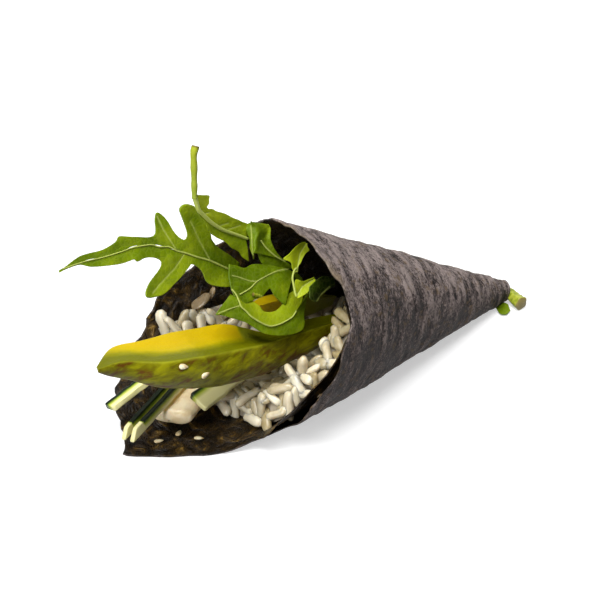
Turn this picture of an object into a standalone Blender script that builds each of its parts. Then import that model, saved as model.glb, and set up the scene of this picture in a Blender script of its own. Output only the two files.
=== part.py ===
"""Temaki hand roll lying on its side.

A half sheet of nori is rolled into a cone round seasoned rice, avocado, cucumber sticks, a soft pale
strip and rocket leaves. The cone lies on the table along one side, with its mouth towards -X and its
tip towards +X. Lengths are in millimetres until the meshes are made in metres. Around the cone,
angles are in degrees: 0 is the top, 90 the near side (-Y), 180 the table and 270 the far side.
"""

import math

import bmesh
import bpy
import numpy as np

MM = 0.001

# The cone of nori.
HALF_ANGLE = 15.4  # between the cone's axis and its wall
FLAT_ANGLE = 14.0  # the wall is flat this far each side of the table line
APEX_X = 70.0  # where the cone's point would touch the table
NORI_THICK = 0.5
LAYER_STEP = 0.85  # from one layer of nori to the next, middle to middle
TIP_REACH = 8.5  # the sheet ends this far from the point
MOUTH_SLACK = 2.4  # how far the inner layer leans in at the near side of the mouth

# Angles along the sheet, counted on past one turn.
SHEET_START = 12.0
INNER_CORNER = 191.0
STEP_OUT = (300.0, 372.0)  # here the sheet climbs from the first layer to the second
SHEET_END = 660.0

# Distance from the cone's point to the sheet's free edge: (angle along the sheet, distance).
RIM = (
    (12, 97), (45, 97), (77, 98), (94, 103), (113, 110), (135, 114), (154, 117), (170, 128), (191, 142),
    (207, 138), (222, 133), (247, 124), (263, 118), (279, 111), (296, 107), (330, 103), (350, 106),
    (369, 107), (384, 106), (405, 102), (424, 100), (438, 103), (450, 105), (472, 108), (497, 107),
    (525, 112), (545, 106), (585, 97), (630, 90), (660, 87),
)

# The rice lining.
RICE_GAP = 0.4
RICE_START, RICE_END = 50.0, 262.0
RICE_BACK = 38.0  # distance from the point to the rice's hidden end
RICE_FRONT = ((50, 98), (60, 100), (90, 102), (120, 106), (150, 110), (180, 111), (220, 116), (262, 122))
RICE_DEPTH = ((50, 3.5), (70, 8), (110, 9.5), (150, 9), (185, 6.5), (215, 4.5), (245, 6), (262, 3))
RICE_LUMP = 0.5  # how far the trough's surface swells and dips

# The avocado. A ridge is the line where the upper cut face meets the rounded outer face; the heights
# and widths are (share of the ridge, size) of the outer face and of the cut face.
AVOCADO_1_RIDGE = (
    (-87, -4, 38.8), (-79, -3.5, 37.5), (-69, -7, 35), (-58, -8, 32.5), (-50, -7, 30), (-35, -5, 25.5),
    (-21, -3, 22.3), (-8, -2, 20), (4, -2, 18),
)
AVOCADO_1_HEIGHTS = ((0, 1.2), (0.1, 5), (0.25, 8.5), (0.45, 10.5), (0.62, 10), (0.8, 7.5), (1, 3))
AVOCADO_1_WIDTHS = (
    (0, 0.9), (0.08, 4), (0.2, 8.5), (0.32, 11), (0.5, 11.5), (0.6, 10.5), (0.66, 5), (0.8, 4.5), (1, 2.5),
)
AVOCADO_1_TILT = 0.25  # slope of the cut face, in radians
AVOCADO_2_RIDGE = ((-25, 12, 26.5), (-18, 13.5, 26), (-8, 13, 23.5), (4, 11, 19))
AVOCADO_2_HEIGHTS = ((0, 3.5), (0.2, 7.5), (0.5, 9.5), (0.8, 7.5), (1, 3.5))
AVOCADO_2_WIDTHS = ((0, 2.4), (0.2, 5.2), (0.5, 6.5), (0.8, 5.2), (1, 2.4))
AVOCADO_2_TILT = 0.2
AVOCADO_BELLY = 0.28  # how far the outer face bulges, as a share of its height

# The cucumber sticks: name, start, end, wide direction with the width as its length, thickness.
CUCUMBER_STICKS = (
    ("cucumber_stick_1", (-71.5, 14.6, 11), (-47, 17.6, 15.5), (1.6, 3.8, -0.6), 1.8),
    ("cucumber_stick_2", (-75, 4, 9.2), (-40, 16.3, 14.6), (0.6, 0.6, 3.6), 1.8),
    ("cucumber_stick_3", (-73.5, 1.6, 8.8), (-40, 12.4, 14), (0.6, 0.6, 3.6), 1.8),
    ("cucumber_stick_4", (-52, 1.2, 10.8), (-22, 5, 16.5), (-0.9, 5.4, 2.4), 2.2),
)
STICK_EDGE = 0.35

# The soft pale strip.
STRIP_PATH = ((-58.5, 5.6, 6), (-53, 7.8, 7), (-47, 10, 8.4), (-42.5, 11.4, 9.7))
STRIP_HALF_WIDTH = 4.4
STRIP_HALF_HEIGHT = 2.2
STRIP_TAPER = 0.09  # how much the half height falls from one section to the next
STRIP_SKEW = 0.8  # its front end is cut at a slant: this far along for each unit of width
STRIP_SQUARE = 0.6  # exponent of its section: 1 is an ellipse, 0 a rectangle

# The rocket leaves.
LEAF_THICK = 0.6
LEAF_FACING = (-0.45, -0.62, 0.64)  # the way the upper sides of the two long leaves look
LONG_MIDRIB = (
    (-27, 10, 36), (-35, 11, 43), (-46, 12, 50), (-52, 13, 54), (-59, 14, 57), (-67, 15, 57),
    (-77, 16, 57), (-84, 16, 57),
)
LONG_LOBES_DOWN = ((0.1, 3, 0.12), (0.36, 12.5, 0.06))
LONG_LOBES_UP = ((0.12, 4, 0.1), (0.21, 13, 0.055), (0.385, 8, 0.045), (0.66, 2, 0.05))
UPRIGHT_MIDRIB = (
    (-42, 12, 81), (-44, 11, 74), (-44, 10, 68), (-43, 8.5, 62), (-38, 8, 56.5), (-31, 8.5, 51.5),
    (-25, 9, 47.5),
)
UPRIGHT_LOBES_DOWN = ((0.42, 2, 0.05), (0.8, 3.2, 0.22))
UPRIGHT_LOBES_UP = ((0.85, 2.0, 0.2),)

# The leaves in the mouth, each as a coarse grid of points on its surface.
CURLED_GRID = (
    ((-28, 7.5, 51), (-29, 6, 46.5), (-29.5, 6, 43)),
    ((-25.5, 7.5, 53.3), (-25, 5, 47), (-25.5, 5, 42.5)),
    ((-22, 7.5, 51), (-20, 5.5, 46), (-20, 4.5, 41)),
)
FRONT_GRID = (
    ((-39, 3.4, 44), (-43, -2, 39), (-46, -3, 38), (-40, -5, 34.6), (-33, -6, 29), (-24, -4, 27)),
    ((-38.4, 2, 43.5), (-40, -1, 40.5), (-37, -4, 37), (-33.5, -6.5, 32.5), (-28.5, -6.5, 30.5),
     (-22, -3.5, 30)),
    ((-30, 2, 43.5), (-30, 0, 41), (-29, -1, 38), (-27.5, -1.5, 36), (-24, -2, 35), (-20, -2, 33)),
    ((-25, 1.5, 43), (-22, 1, 42), (-20, 0.5, 40), (-19, 0, 38), (-18.5, -0.5, 36), (-18, -1, 34)),
)
PALE_GRID = (
    ((-19, -2.5, 44), (-17.8, -3.5, 40.5), (-17, -4.5, 35)),
    ((-15.5, -4, 48), (-15.5, -4.5, 41), (-14.6, -5.5, 36)),
    ((-12.5, -4.5, 49), (-13.5, -5, 42), (-10.5, -6.5, 38.5)),
)
INNER_GRID = (
    ((-16, -9.5, 38), (-14, -9, 36)),
    ((-13, -9.5, 37), (-11, -9, 34)),
    ((-6, -9, 33), (-5, -9, 31)),
)

# The cut stem at the tip.
STEM_PATH = (
    (36, 0, 9.9), (50, 0, 6.2), (58, 0, 4.3), (62, 0, 3.3), (63.7, -2.8, 2.7), (62.6, -8.4, 1.8),
)
STEM_RADIUS = 1.35
STEM_FLARE = 0.35  # how much thicker it is at its cut end


def lean():
    """Angle of the cone's axis above the table, in radians."""
    return math.atan(math.tan(math.radians(HALF_ANGLE)) * math.cos(math.radians(FLAT_ANGLE)))


def roll_frame():
    """The cone's point and its unit vectors: along the axis to the mouth, to the near side, and up."""
    tilt = lean()
    outermost = LAYER_STEP + NORI_THICK / 2
    point = np.array([APEX_X, 0.0, outermost * math.cos(tilt)])
    along = np.array([-math.cos(tilt), 0.0, math.sin(tilt)])
    near = np.array([0.0, -1.0, 0.0])
    up = np.array([math.sin(tilt), 0.0, math.cos(tilt)])
    return point, along, near, up


def in_roll(along, near, up):
    """World position of a point given along the axis, to the near side and up from the axis."""
    point, a, n, u = roll_frame()
    along, near, up = (np.asarray(v, float)[..., None] for v in (along, near, up))
    return point + along * a + near * n + up * u


def on_cone(reach, angle, offset):
    """World position on the cone's wall, at a distance from its point and outwards from the wall."""
    reach, angle, offset = np.broadcast_arrays(reach, angle, offset)
    half = math.radians(HALF_ANGLE)
    flat = math.radians(FLAT_ANGLE)
    turn = np.radians(angle)
    from_table = np.abs(np.mod(turn, 2 * math.pi) - math.pi)
    radius = reach * math.sin(half)
    sagged = (radius * math.cos(flat) + offset) / np.cos(np.minimum(from_table, flat))
    radius = np.where(from_table < flat, np.minimum(radius + offset, sagged), radius + offset)
    return in_roll(reach * math.cos(half), radius * np.sin(turn), radius * np.cos(turn))


def ease(value, low, high):
    """Rises smoothly from 0 at low to 1 at high."""
    share = np.clip((np.asarray(value, float) - low) / (high - low), 0, 1)
    return share * share * (3 - 2 * share)


def through(stations, at):
    """Values at the given places on a smooth curve through (place, value) pairs."""
    x, y = np.array(stations, float).T
    slope = np.gradient(y, x)
    at = np.clip(np.asarray(at, float), x[0], x[-1])
    i = np.clip(np.searchsorted(x, at) - 1, 0, len(x) - 2)
    span = x[i + 1] - x[i]
    s = (at - x[i]) / span
    start = y[i] * (1 + 2 * s) * (1 - s) ** 2 + slope[i] * span * s * (1 - s) ** 2
    end = y[i + 1] * s * s * (3 - 2 * s) + slope[i + 1] * span * s * s * (s - 1)
    return start + end


def smooth_path(points, count):
    """Evenly numbered points on a smooth curve through the given points."""
    points = np.array(points, float)
    knots = np.arange(len(points))
    at = np.linspace(0, len(points) - 1, count)
    return np.stack([through(np.stack([knots, c], 1), at) for c in points.T], 1)


def smooth_grid(points, rows, columns):
    """A finer grid of points on a smooth surface through a coarse grid of points."""
    across = np.stack([smooth_path(row, columns) for row in np.array(points, float)])
    return np.stack([smooth_path(across[:, j], rows) for j in range(columns)], 1)


def material(name, colour, roughness):
    """A plain material with one colour."""
    made = bpy.data.materials.new(name)
    made.use_nodes = True
    shader = made.node_tree.nodes["Principled BSDF"]
    shader.inputs["Base Color"].default_value = (*colour, 1)
    shader.inputs["Roughness"].default_value = roughness
    return made


def add_object(name, collection, mesh, finish):
    """Puts a mesh into the collection as a smooth-shaded object."""
    obj = bpy.data.objects.new(name, mesh)
    collection.objects.link(obj)
    mesh.materials.append(finish)
    mesh.shade_smooth()
    mesh.set_sharp_from_angle(angle=math.radians(40))
    return obj


def mesh_of(name, points, faces):
    """A mesh from points in millimetres, with its faces turned outwards."""
    mesh = bpy.data.meshes.new(name)
    mesh.from_pydata([tuple(p) for p in np.asarray(points) * MM], [], faces)
    shape = bmesh.new()
    shape.from_mesh(mesh)
    bmesh.ops.recalc_face_normals(shape, faces=shape.faces)
    shape.to_mesh(mesh)
    shape.free()
    mesh.validate()
    return mesh


def grid_faces(rows, columns, start=0):
    """Quads of an open grid whose points are numbered row by row."""
    corner = start + np.arange(rows - 1)[:, None] * columns + np.arange(columns - 1)
    quads = np.stack([corner, corner + 1, corner + columns + 1, corner + columns], -1)
    return quads.reshape(-1, 4).tolist()


def sheet_object(name, collection, grid, thickness, finish):
    """A thin piece: an open grid of points thickened evenly to both sides."""
    rows, columns = grid.shape[:2]
    mesh = mesh_of(name, grid.reshape(-1, 3), grid_faces(rows, columns))
    obj = add_object(name, collection, mesh, finish)
    solid = obj.modifiers.new("thickness", "SOLIDIFY")
    solid.thickness = thickness * MM
    solid.offset = 0
    solid.use_even_offset = True


def ring_object(name, collection, rings, finish):
    """A solid lofted through closed rings of equal length.

    A ring runs along one side of the section and back along the other, so each end is closed by a
    strip of faces between the two sides, which also fits a bent section.
    """
    rings = np.asarray(rings, float)
    count, around = rings.shape[:2]
    faces = []
    for i in range(count - 1):
        for j in range(around):
            k = (j + 1) % around
            faces.append([i * around + j, i * around + k, (i + 1) * around + k, (i + 1) * around + j])
    for end in (0, count - 1):
        first = end * around
        for j in range(around // 2 - 1):
            opposite = around - 1 - j
            faces.append([first + j, first + j + 1, first + opposite - 1, first + opposite])
    return add_object(name, collection, mesh_of(name, rings.reshape(-1, 3), faces), finish)


def sheet_columns():
    """Angles of the sheet's columns: the two layers share them, so that their facets lie parallel."""
    turn = np.arange(0, 360, 8.0)
    turn = np.unique(np.append(turn, [SHEET_START, INNER_CORNER, 180 - FLAT_ANGLE, 180 + FLAT_ANGLE]))
    turn = turn[np.append(True, np.diff(turn) > 1.5)]
    columns = np.concatenate([turn, turn + 360])
    return columns[(columns >= SHEET_START) & (columns <= SHEET_END)]


def sheet_offset(angle, reach):
    """How far the middle of the sheet lies outside the cone at an angle along the sheet."""
    layer = LAYER_STEP * ease(angle, *STEP_OUT)
    window = ease(angle, 12, 60) * (1 - ease(angle, 130, 166))
    slack = MOUTH_SLACK * window * ease(reach, 35, 105)
    return layer - slack


def add_nori(collection, finish):
    """The rolled sheet, from its inner edge just off the top to its outer edge on the far side."""
    rows = 12
    angle = sheet_columns()
    share = np.linspace(0, 1, rows)[:, None]
    reach = TIP_REACH + (through(RIM, angle) - TIP_REACH) * share
    angle = np.broadcast_to(angle, reach.shape)
    grid = on_cone(reach, angle, sheet_offset(angle, reach))
    sheet_object("nori_wrap", collection, grid, NORI_THICK, finish)


def add_rice(collection, finish):
    """The rice lining: thick at the bottom and near side, thin at its two upper ends."""
    rows, columns = 13, 27
    angle = np.linspace(RICE_START, RICE_END, columns)
    front = through(RICE_FRONT, angle)
    full_depth = through(RICE_DEPTH, angle)
    rings = []
    for row in range(rows):
        share = row / (rows - 1)
        reach = RICE_BACK + (front - RICE_BACK) * share
        lumps = RICE_LUMP * np.sin(angle * 0.31 + row * 2.1) * np.sin(angle * 0.17 - row)
        depth = full_depth * (reach / 110) ** 0.8 * (1 - 0.25 * (row == rows - 1))
        outer = sheet_offset(angle, reach) - NORI_THICK / 2 - RICE_GAP
        wall = on_cone(reach, angle, outer)
        trough = on_cone(reach - 1.2 * (row == rows - 1), angle, outer - depth + lumps)
        rings.append(np.concatenate([wall, trough[::-1]]))
    ring_object("rice", collection, rings, finish)


def wedge_rings(ridge, heights, widths, tilt, side):
    """Rings of an avocado slice: a bulging outer face under the ridge and two cut faces behind it.

    ridge holds the ring's upper outer corners. tilt is the cut face's slope in radians, and side is +1
    where the outer face looks to the near side and -1 where it looks to the far side.
    """
    drop = np.linspace(0, 1, 6)
    back_from_cut = np.array([1, 0.67, 0.33])
    rings = []
    for (x, y, z), height, width in zip(ridge, heights, widths):
        belly = AVOCADO_BELLY * height * np.sin(0.8 * math.pi * drop)
        foot = -0.15 * height
        back, rise = -width * math.cos(tilt), width * math.sin(tilt)
        near = np.concatenate([belly + foot * drop, [0.45 * back], back * back_from_cut])
        up = np.concatenate([-height * drop, [0.45 * (rise - height)], rise * back_from_cut])
        rings.append(np.stack([np.full(len(near), x), y - side * near, z + up], 1))
    return rings


def avocado_slice(ridge, heights, widths, tilt, side, count):
    """The rings of one slice, at evenly spaced places along its ridge."""
    share = np.linspace(0, 1, count)
    drops = through(heights, share)
    depths = through(widths, share)
    return wedge_rings(smooth_path(ridge, count), drops, depths, tilt, side)


def add_avocado(collection, finish):
    """Two slices side by side: a long one that stands out of the mouth and a short one behind it."""
    front = avocado_slice(AVOCADO_1_RIDGE, AVOCADO_1_HEIGHTS, AVOCADO_1_WIDTHS, AVOCADO_1_TILT, 1, 17)
    back = avocado_slice(AVOCADO_2_RIDGE, AVOCADO_2_HEIGHTS, AVOCADO_2_WIDTHS, AVOCADO_2_TILT, -1, 9)
    ring_object("avocado_slice_1", collection, front, finish)
    ring_object("avocado_slice_2", collection, back, finish)


def add_stick(name, collection, start, end, across, thick, finish):
    """A straight cucumber stick with square ends and softened edges."""
    start, end, across = (np.array(v, float) for v in (start, end, across))
    along = (end - start) / np.linalg.norm(end - start)
    across_unit = across / np.linalg.norm(across)
    size = np.array([np.linalg.norm(end - start), np.linalg.norm(across), thick])
    axes = np.stack([along, across_unit, np.cross(along, across_unit)])
    corners = np.array([(x, y, z) for x in (-0.5, 0.5) for y in (-0.5, 0.5) for z in (-0.5, 0.5)])
    points = (start + end) / 2 + (corners * size) @ axes
    faces = [(0, 1, 3, 2), (4, 5, 7, 6), (0, 1, 5, 4), (2, 3, 7, 6), (0, 2, 6, 4), (1, 3, 7, 5)]
    obj = add_object(name, collection, mesh_of(name, points, faces), finish)
    rounded = obj.modifiers.new("edges", "BEVEL")
    rounded.width = STICK_EDGE * MM
    rounded.segments = 2


def add_cucumber(collection, finish):
    """Four sticks that run along the trough of the rice and stand out of the mouth at its foot."""
    for name, start, end, across, thick in CUCUMBER_STICKS:
        add_stick(name, collection, start, end, across, thick, finish)


def add_strip(collection, finish):
    """The soft pale strip: a rounded block that runs back to the rice beside the cucumber."""
    turn = np.linspace(0, 2 * math.pi, 12, endpoint=False)
    across = np.sign(np.cos(turn)) * np.abs(np.cos(turn)) ** STRIP_SQUARE
    over = np.sign(np.sin(turn)) * np.abs(np.sin(turn)) ** STRIP_SQUARE
    rings = []
    for i, (x, y, z) in enumerate(smooth_path(STRIP_PATH, 9)):
        end = min(1.0, 0.55 + 0.45 * i)
        wide = STRIP_HALF_WIDTH * end * across
        tall = (STRIP_HALF_HEIGHT - STRIP_TAPER * i) * end * over
        rings.append(np.stack([x - STRIP_SKEW * wide, y + wide, z + tall], 1))
    ring_object("pale_strip", collection, rings, finish)


def blade_edge(share, base, lobes):
    """Half width of a leaf blade along its midrib: a narrow blade with lobes (place, reach, spread)."""
    width = base * np.sin(math.pi * np.clip(share, 0, 1) ** 0.8) ** 0.6 + 0.35
    for place, reach, spread in lobes:
        width = width + reach * np.exp(-((share - place) / spread) ** 4)
    return width


def leaf_grid(midrib, base, lobes_down, lobes_up, slant, cup):
    """A leaf surface: ribs leave the midrib on both sides, slanted towards the tip.

    midrib runs from the stem to the tip, base is the blade's own half width, lobes_down and lobes_up
    its lobes on the two sides, slant the ribs' angles forward on those sides in radians, and cup the
    blade's hollow: its lift for each square of the distance from the midrib.
    """
    rows = 27
    share = np.linspace(0, 1, rows)
    spine = smooth_path(midrib, rows)
    along = np.gradient(spine, axis=0)
    along /= np.linalg.norm(along, axis=1)[:, None]
    facing = np.array(LEAF_FACING) / np.linalg.norm(LEAF_FACING)
    across = np.cross(along, facing)
    across /= np.linalg.norm(across, axis=1)[:, None]
    normal = np.cross(across, along)
    halves = []
    for side, lobes, lean_on in ((-1, lobes_down, slant[0]), (1, lobes_up, slant[1])):
        rib = side * across * math.cos(lean_on) + along * math.sin(lean_on)
        reach = blade_edge(share, base, lobes)[:, None]
        lift = cup * reach**2 * normal
        halves.append((spine + rib * reach + lift, spine + rib * reach / 2 + lift / 4))
    (outer_down, mid_down), (outer_up, mid_up) = halves
    return np.stack([outer_down, mid_down, spine, mid_up, outer_up], 1)


def add_leaves(collection, finish):
    """Six rocket leaves that stand out of the upper half of the mouth."""
    grids = {
        "leaf_long": leaf_grid(
            LONG_MIDRIB, 2.4, LONG_LOBES_DOWN, LONG_LOBES_UP, slant=(0.3, 0.8), cup=0.006),
        "leaf_upright": leaf_grid(
            UPRIGHT_MIDRIB, 0.9, UPRIGHT_LOBES_DOWN, UPRIGHT_LOBES_UP, slant=(0.1, 0.1), cup=0.03),
        "leaf_curled": smooth_grid(CURLED_GRID, 5, 9),
        "leaf_front": smooth_grid(FRONT_GRID, 8, 13),
        "leaf_pale": smooth_grid(PALE_GRID, 5, 7),
        "leaf_inner": smooth_grid(INNER_GRID, 7, 4),
    }
    for name, grid in grids.items():
        sheet_object(name, collection, grid, LEAF_THICK, finish)


def add_stem(collection, finish):
    """The cut leaf stem that stands out of the tip and bends to the near side."""
    path = smooth_path(STEM_PATH, 10)
    along = np.gradient(path, axis=0)
    side = np.cross(along, (0.0, 0.0, 1.0))
    side /= np.linalg.norm(side, axis=1)[:, None]
    up = np.cross(side, along)
    up /= np.linalg.norm(up, axis=1)[:, None]
    turn = np.linspace(0, 2 * math.pi, 10, endpoint=False)[None, :, None]
    radius = (STEM_RADIUS + STEM_FLARE * ease(np.arange(10), 6, 9))[:, None, None]
    rings = path[:, None] + radius * (np.cos(turn) * side[:, None] + np.sin(turn) * up[:, None])
    ring_object("tip_stem", collection, rings, finish)


def main():
    for obj in list(bpy.data.objects):
        bpy.data.objects.remove(obj)
    collection = bpy.data.collections.new("temaki_hand_roll")
    bpy.context.scene.collection.children.link(collection)
    add_nori(collection, material("nori", (0.11, 0.09, 0.09), 0.6))
    add_rice(collection, material("rice", (0.72, 0.68, 0.6), 0.35))
    add_avocado(collection, material("avocado", (0.45, 0.5, 0.06), 0.4))
    add_cucumber(collection, material("cucumber", (0.5, 0.58, 0.25), 0.3))
    add_strip(collection, material("pale_strip", (0.68, 0.58, 0.45), 0.35))
    add_leaves(collection, material("leaf", (0.13, 0.24, 0.02), 0.4))
    add_stem(collection, material("stem", (0.4, 0.48, 0.08), 0.4))


main()
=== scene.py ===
"""Temaki hand roll: the finished look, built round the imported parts.

Lengths are in millimetres until a mesh is made in metres. Round the cone, angles are in degrees: 0 is
the top, 90 the near side (-Y), 180 the table and 270 the far side, counted on past one turn along the
rolled sheet. Leaves are drawn on a plane that faces the open mouth, and then bent off that plane.
"""

import logging
import math
from dataclasses import dataclass, field
from enum import Enum
from typing import Any, Optional, Sequence, Union

import bpy
import numpy as np
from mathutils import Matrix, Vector
from mathutils.bvhtree import BVHTree


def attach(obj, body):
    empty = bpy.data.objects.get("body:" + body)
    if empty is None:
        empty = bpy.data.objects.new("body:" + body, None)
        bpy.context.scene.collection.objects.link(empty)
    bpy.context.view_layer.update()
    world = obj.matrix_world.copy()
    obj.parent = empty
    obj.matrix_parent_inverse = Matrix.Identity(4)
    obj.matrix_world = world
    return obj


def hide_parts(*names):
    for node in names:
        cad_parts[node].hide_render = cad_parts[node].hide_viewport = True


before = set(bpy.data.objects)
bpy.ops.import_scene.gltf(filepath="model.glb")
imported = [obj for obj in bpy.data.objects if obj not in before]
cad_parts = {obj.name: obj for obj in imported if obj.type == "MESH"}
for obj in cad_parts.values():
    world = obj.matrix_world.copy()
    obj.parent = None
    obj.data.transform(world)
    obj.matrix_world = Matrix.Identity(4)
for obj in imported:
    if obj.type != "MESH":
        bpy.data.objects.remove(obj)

Array = np.ndarray
Stations = tuple[tuple[float, float], ...]
Points = tuple[tuple[float, ...], ...]
Colour = tuple[float, float, float]

MM = 0.001
LOG = logging.getLogger("temaki")


# ---------------------------------------------------------------- curves and noise


def ease(value: Union[float, Array], low: float, high: float) -> Array:
    """Rises from 0 at low to 1 at high as 3s^2 - 2s^3.

    Args:
        value: Where to read the curve.
        low: Where it leaves 0.
        high: Where it reaches 1.

    Returns:
        The share at each value.
    """
    share = np.clip((np.asarray(value, float) - low) / (high - low), 0, 1)
    return share * share * (3 - 2 * share)


def bell(value: Union[float, Array], middle: float, width: float, power: int = 2) -> Array:
    """A bump of height 1: exp(-|(value - middle) / width|^power)."""
    return np.exp(-np.abs((np.asarray(value, float) - middle) / width) ** power)


def through(stations: Sequence[Sequence[float]], at: Union[float, Array]) -> Array:
    """Values on a smooth curve through (place, value) stations.

    Between two stations the curve is the cubic that has their values and, at each, the mean slope of
    the curve's neighbours.

    Args:
        stations: Pairs of place and value, with rising places.
        at: The places to read.

    Returns:
        The values there, held constant past the ends.
    """
    x, y = np.array(stations, float).T
    slope = np.gradient(y, x)
    at = np.clip(np.asarray(at, float), x[0], x[-1])
    i = np.clip(np.searchsorted(x, at) - 1, 0, len(x) - 2)
    span = x[i + 1] - x[i]
    s = (at - x[i]) / span
    start = y[i] * (1 + 2 * s) * (1 - s) ** 2 + slope[i] * span * s * (1 - s) ** 2
    end = y[i + 1] * s * s * (3 - 2 * s) + slope[i + 1] * span * s * s * (s - 1)
    return start + end


def smooth_path(points: Union[Points, Array], count: int) -> Array:
    """Points evenly numbered along a smooth curve through the given ones.

    Args:
        points: The points that the curve passes through.
        count: How many points to return.

    Returns:
        An array of count points.
    """
    points = np.array(points, float)
    knots = np.arange(len(points))
    at = np.linspace(0, len(points) - 1, count)
    return np.stack([through(np.stack([knots, c], 1), at) for c in points.T], 1)


def smooth_grid(points: Array, rows: int, columns: int) -> Array:
    """A fine grid on the smooth surface through a coarse grid of points.

    Args:
        points: Coarse grid, rows by columns by coordinates.
        rows: Rows of the fine grid.
        columns: Columns of the fine grid.

    Returns:
        The fine grid.
    """
    across = np.stack([smooth_path(row, columns) for row in np.array(points, float)])
    return np.stack([smooth_path(across[:, j], rows) for j in range(columns)], 1)


def unit(vectors: Array) -> Array:
    """The vectors with length 1."""
    return vectors / np.maximum(np.linalg.norm(vectors, axis=-1, keepdims=True), 1e-9)


class LatticeNoise:
    """Smooth, repeatable noise: random values on a lattice, blended smoothly between its corners."""

    def __init__(self, seed: int, size: int = 40) -> None:
        """Draws the lattice.

        Args:
            seed: Seed of the random values.
            size: Corners along each side, after which the noise repeats.
        """
        self.size = size
        self.table = np.random.default_rng(seed).uniform(-1, 1, (size,) * 3)

    def at(self, points: Array, lump: float, octaves: int = 1) -> Array:
        """Noise of about -1 to 1 at some points.

        Args:
            points: Where to read it, in millimetres.
            lump: The size of its lumps.
            octaves: How many finer layers are added, each half as large and half as strong.

        Returns:
            One value for each point.
        """
        total = np.zeros(points.shape[:-1])
        for octave in range(octaves):
            where = points * (2**octave / lump) + 7.3 * octave
            total += self._blend(where) * 0.5**octave
        return total

    def _blend(self, where: Array) -> Array:
        """The lattice values round each place, weighted by smooth shares along the three axes."""
        cell = np.floor(where).astype(int)
        share = where - cell
        share = share * share * (3 - 2 * share)
        result = np.zeros(where.shape[:-1])
        for corner in np.ndindex(2, 2, 2):
            x, y, z = np.moveaxis((cell + corner) % self.size, -1, 0)
            result += np.prod(np.where(corner, share, 1 - share), axis=-1) * self.table[x, y, z]
        return result


NOISE = LatticeNoise(seed=11)


# ---------------------------------------------------------------- meshes


def grid_quads(rows: int, columns: int, wrap: bool = False) -> Array:
    """Quads of a grid whose points are numbered row by row.

    Args:
        rows: Rows of points.
        columns: Points in a row.
        wrap: Whether each row closes on itself.

    Returns:
        Point numbers, four for each quad.
    """
    j = np.arange(columns if wrap else columns - 1)
    after = (j + 1) % columns
    row = np.arange(rows - 1)[:, None] * columns
    quads = np.stack([row + j, row + after, row + columns + after, row + columns + j], -1)
    return quads.reshape(-1, 4)


def slab_faces(rows: int, columns: int) -> list[Array]:
    """Quads of a closed slab: one grid, the same grid after it, and a wall round their edge."""
    top = grid_quads(rows, columns)
    last = rows * columns
    ring = np.concatenate([
        np.arange(columns),
        columns * np.arange(1, rows) + columns - 1,
        (rows - 1) * columns + np.arange(columns - 2, -1, -1),
        columns * np.arange(rows - 2, 0, -1),
    ])
    after = np.roll(ring, -1)
    wall = np.stack([ring, ring + last, after + last, after], 1)
    return [np.concatenate([top, top[:, ::-1] + last, wall])]


def tube(rings: Array) -> tuple[Array, list[Array]]:
    """A closed tube through rings of points, with a fan of triangles over each end.

    Args:
        rings: Rings by points by coordinates.

    Returns:
        The points, with the middles of the two ends last, and the faces.
    """
    count, around = rings.shape[:2]
    points = np.concatenate([rings.reshape(-1, 3), rings[:1].mean(1), rings[-1:].mean(1)])
    j = np.arange(around)
    after = (j + 1) % around
    first = np.full(around, count * around)
    last = (count - 1) * around
    fans = [np.stack([first, after, j], 1), np.stack([first + 1, last + j, last + after], 1)]
    return points, [grid_quads(count, around, wrap=True), *fans]


def path_axes(path: Array, up: Sequence[float]) -> tuple[Array, Array]:
    """Unit vectors to the side and over a path, square to it at each point.

    Args:
        path: Points along the path.
        up: Roughly the way over.

    Returns:
        The side vectors and the over vectors.
    """
    along = unit(np.gradient(path, axis=0))
    side = unit(np.cross(along, np.array(up, float)))
    return side, np.cross(side, along)


def carried(path: Array, up: Sequence[float], across: Array, over: Array) -> Array:
    """Rings of a profile carried along a path: path + across * side vector + over * over vector."""
    side, top = path_axes(path, up)
    return path[:, None] + across[..., None] * side[:, None] + over[..., None] * top[:, None]


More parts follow.
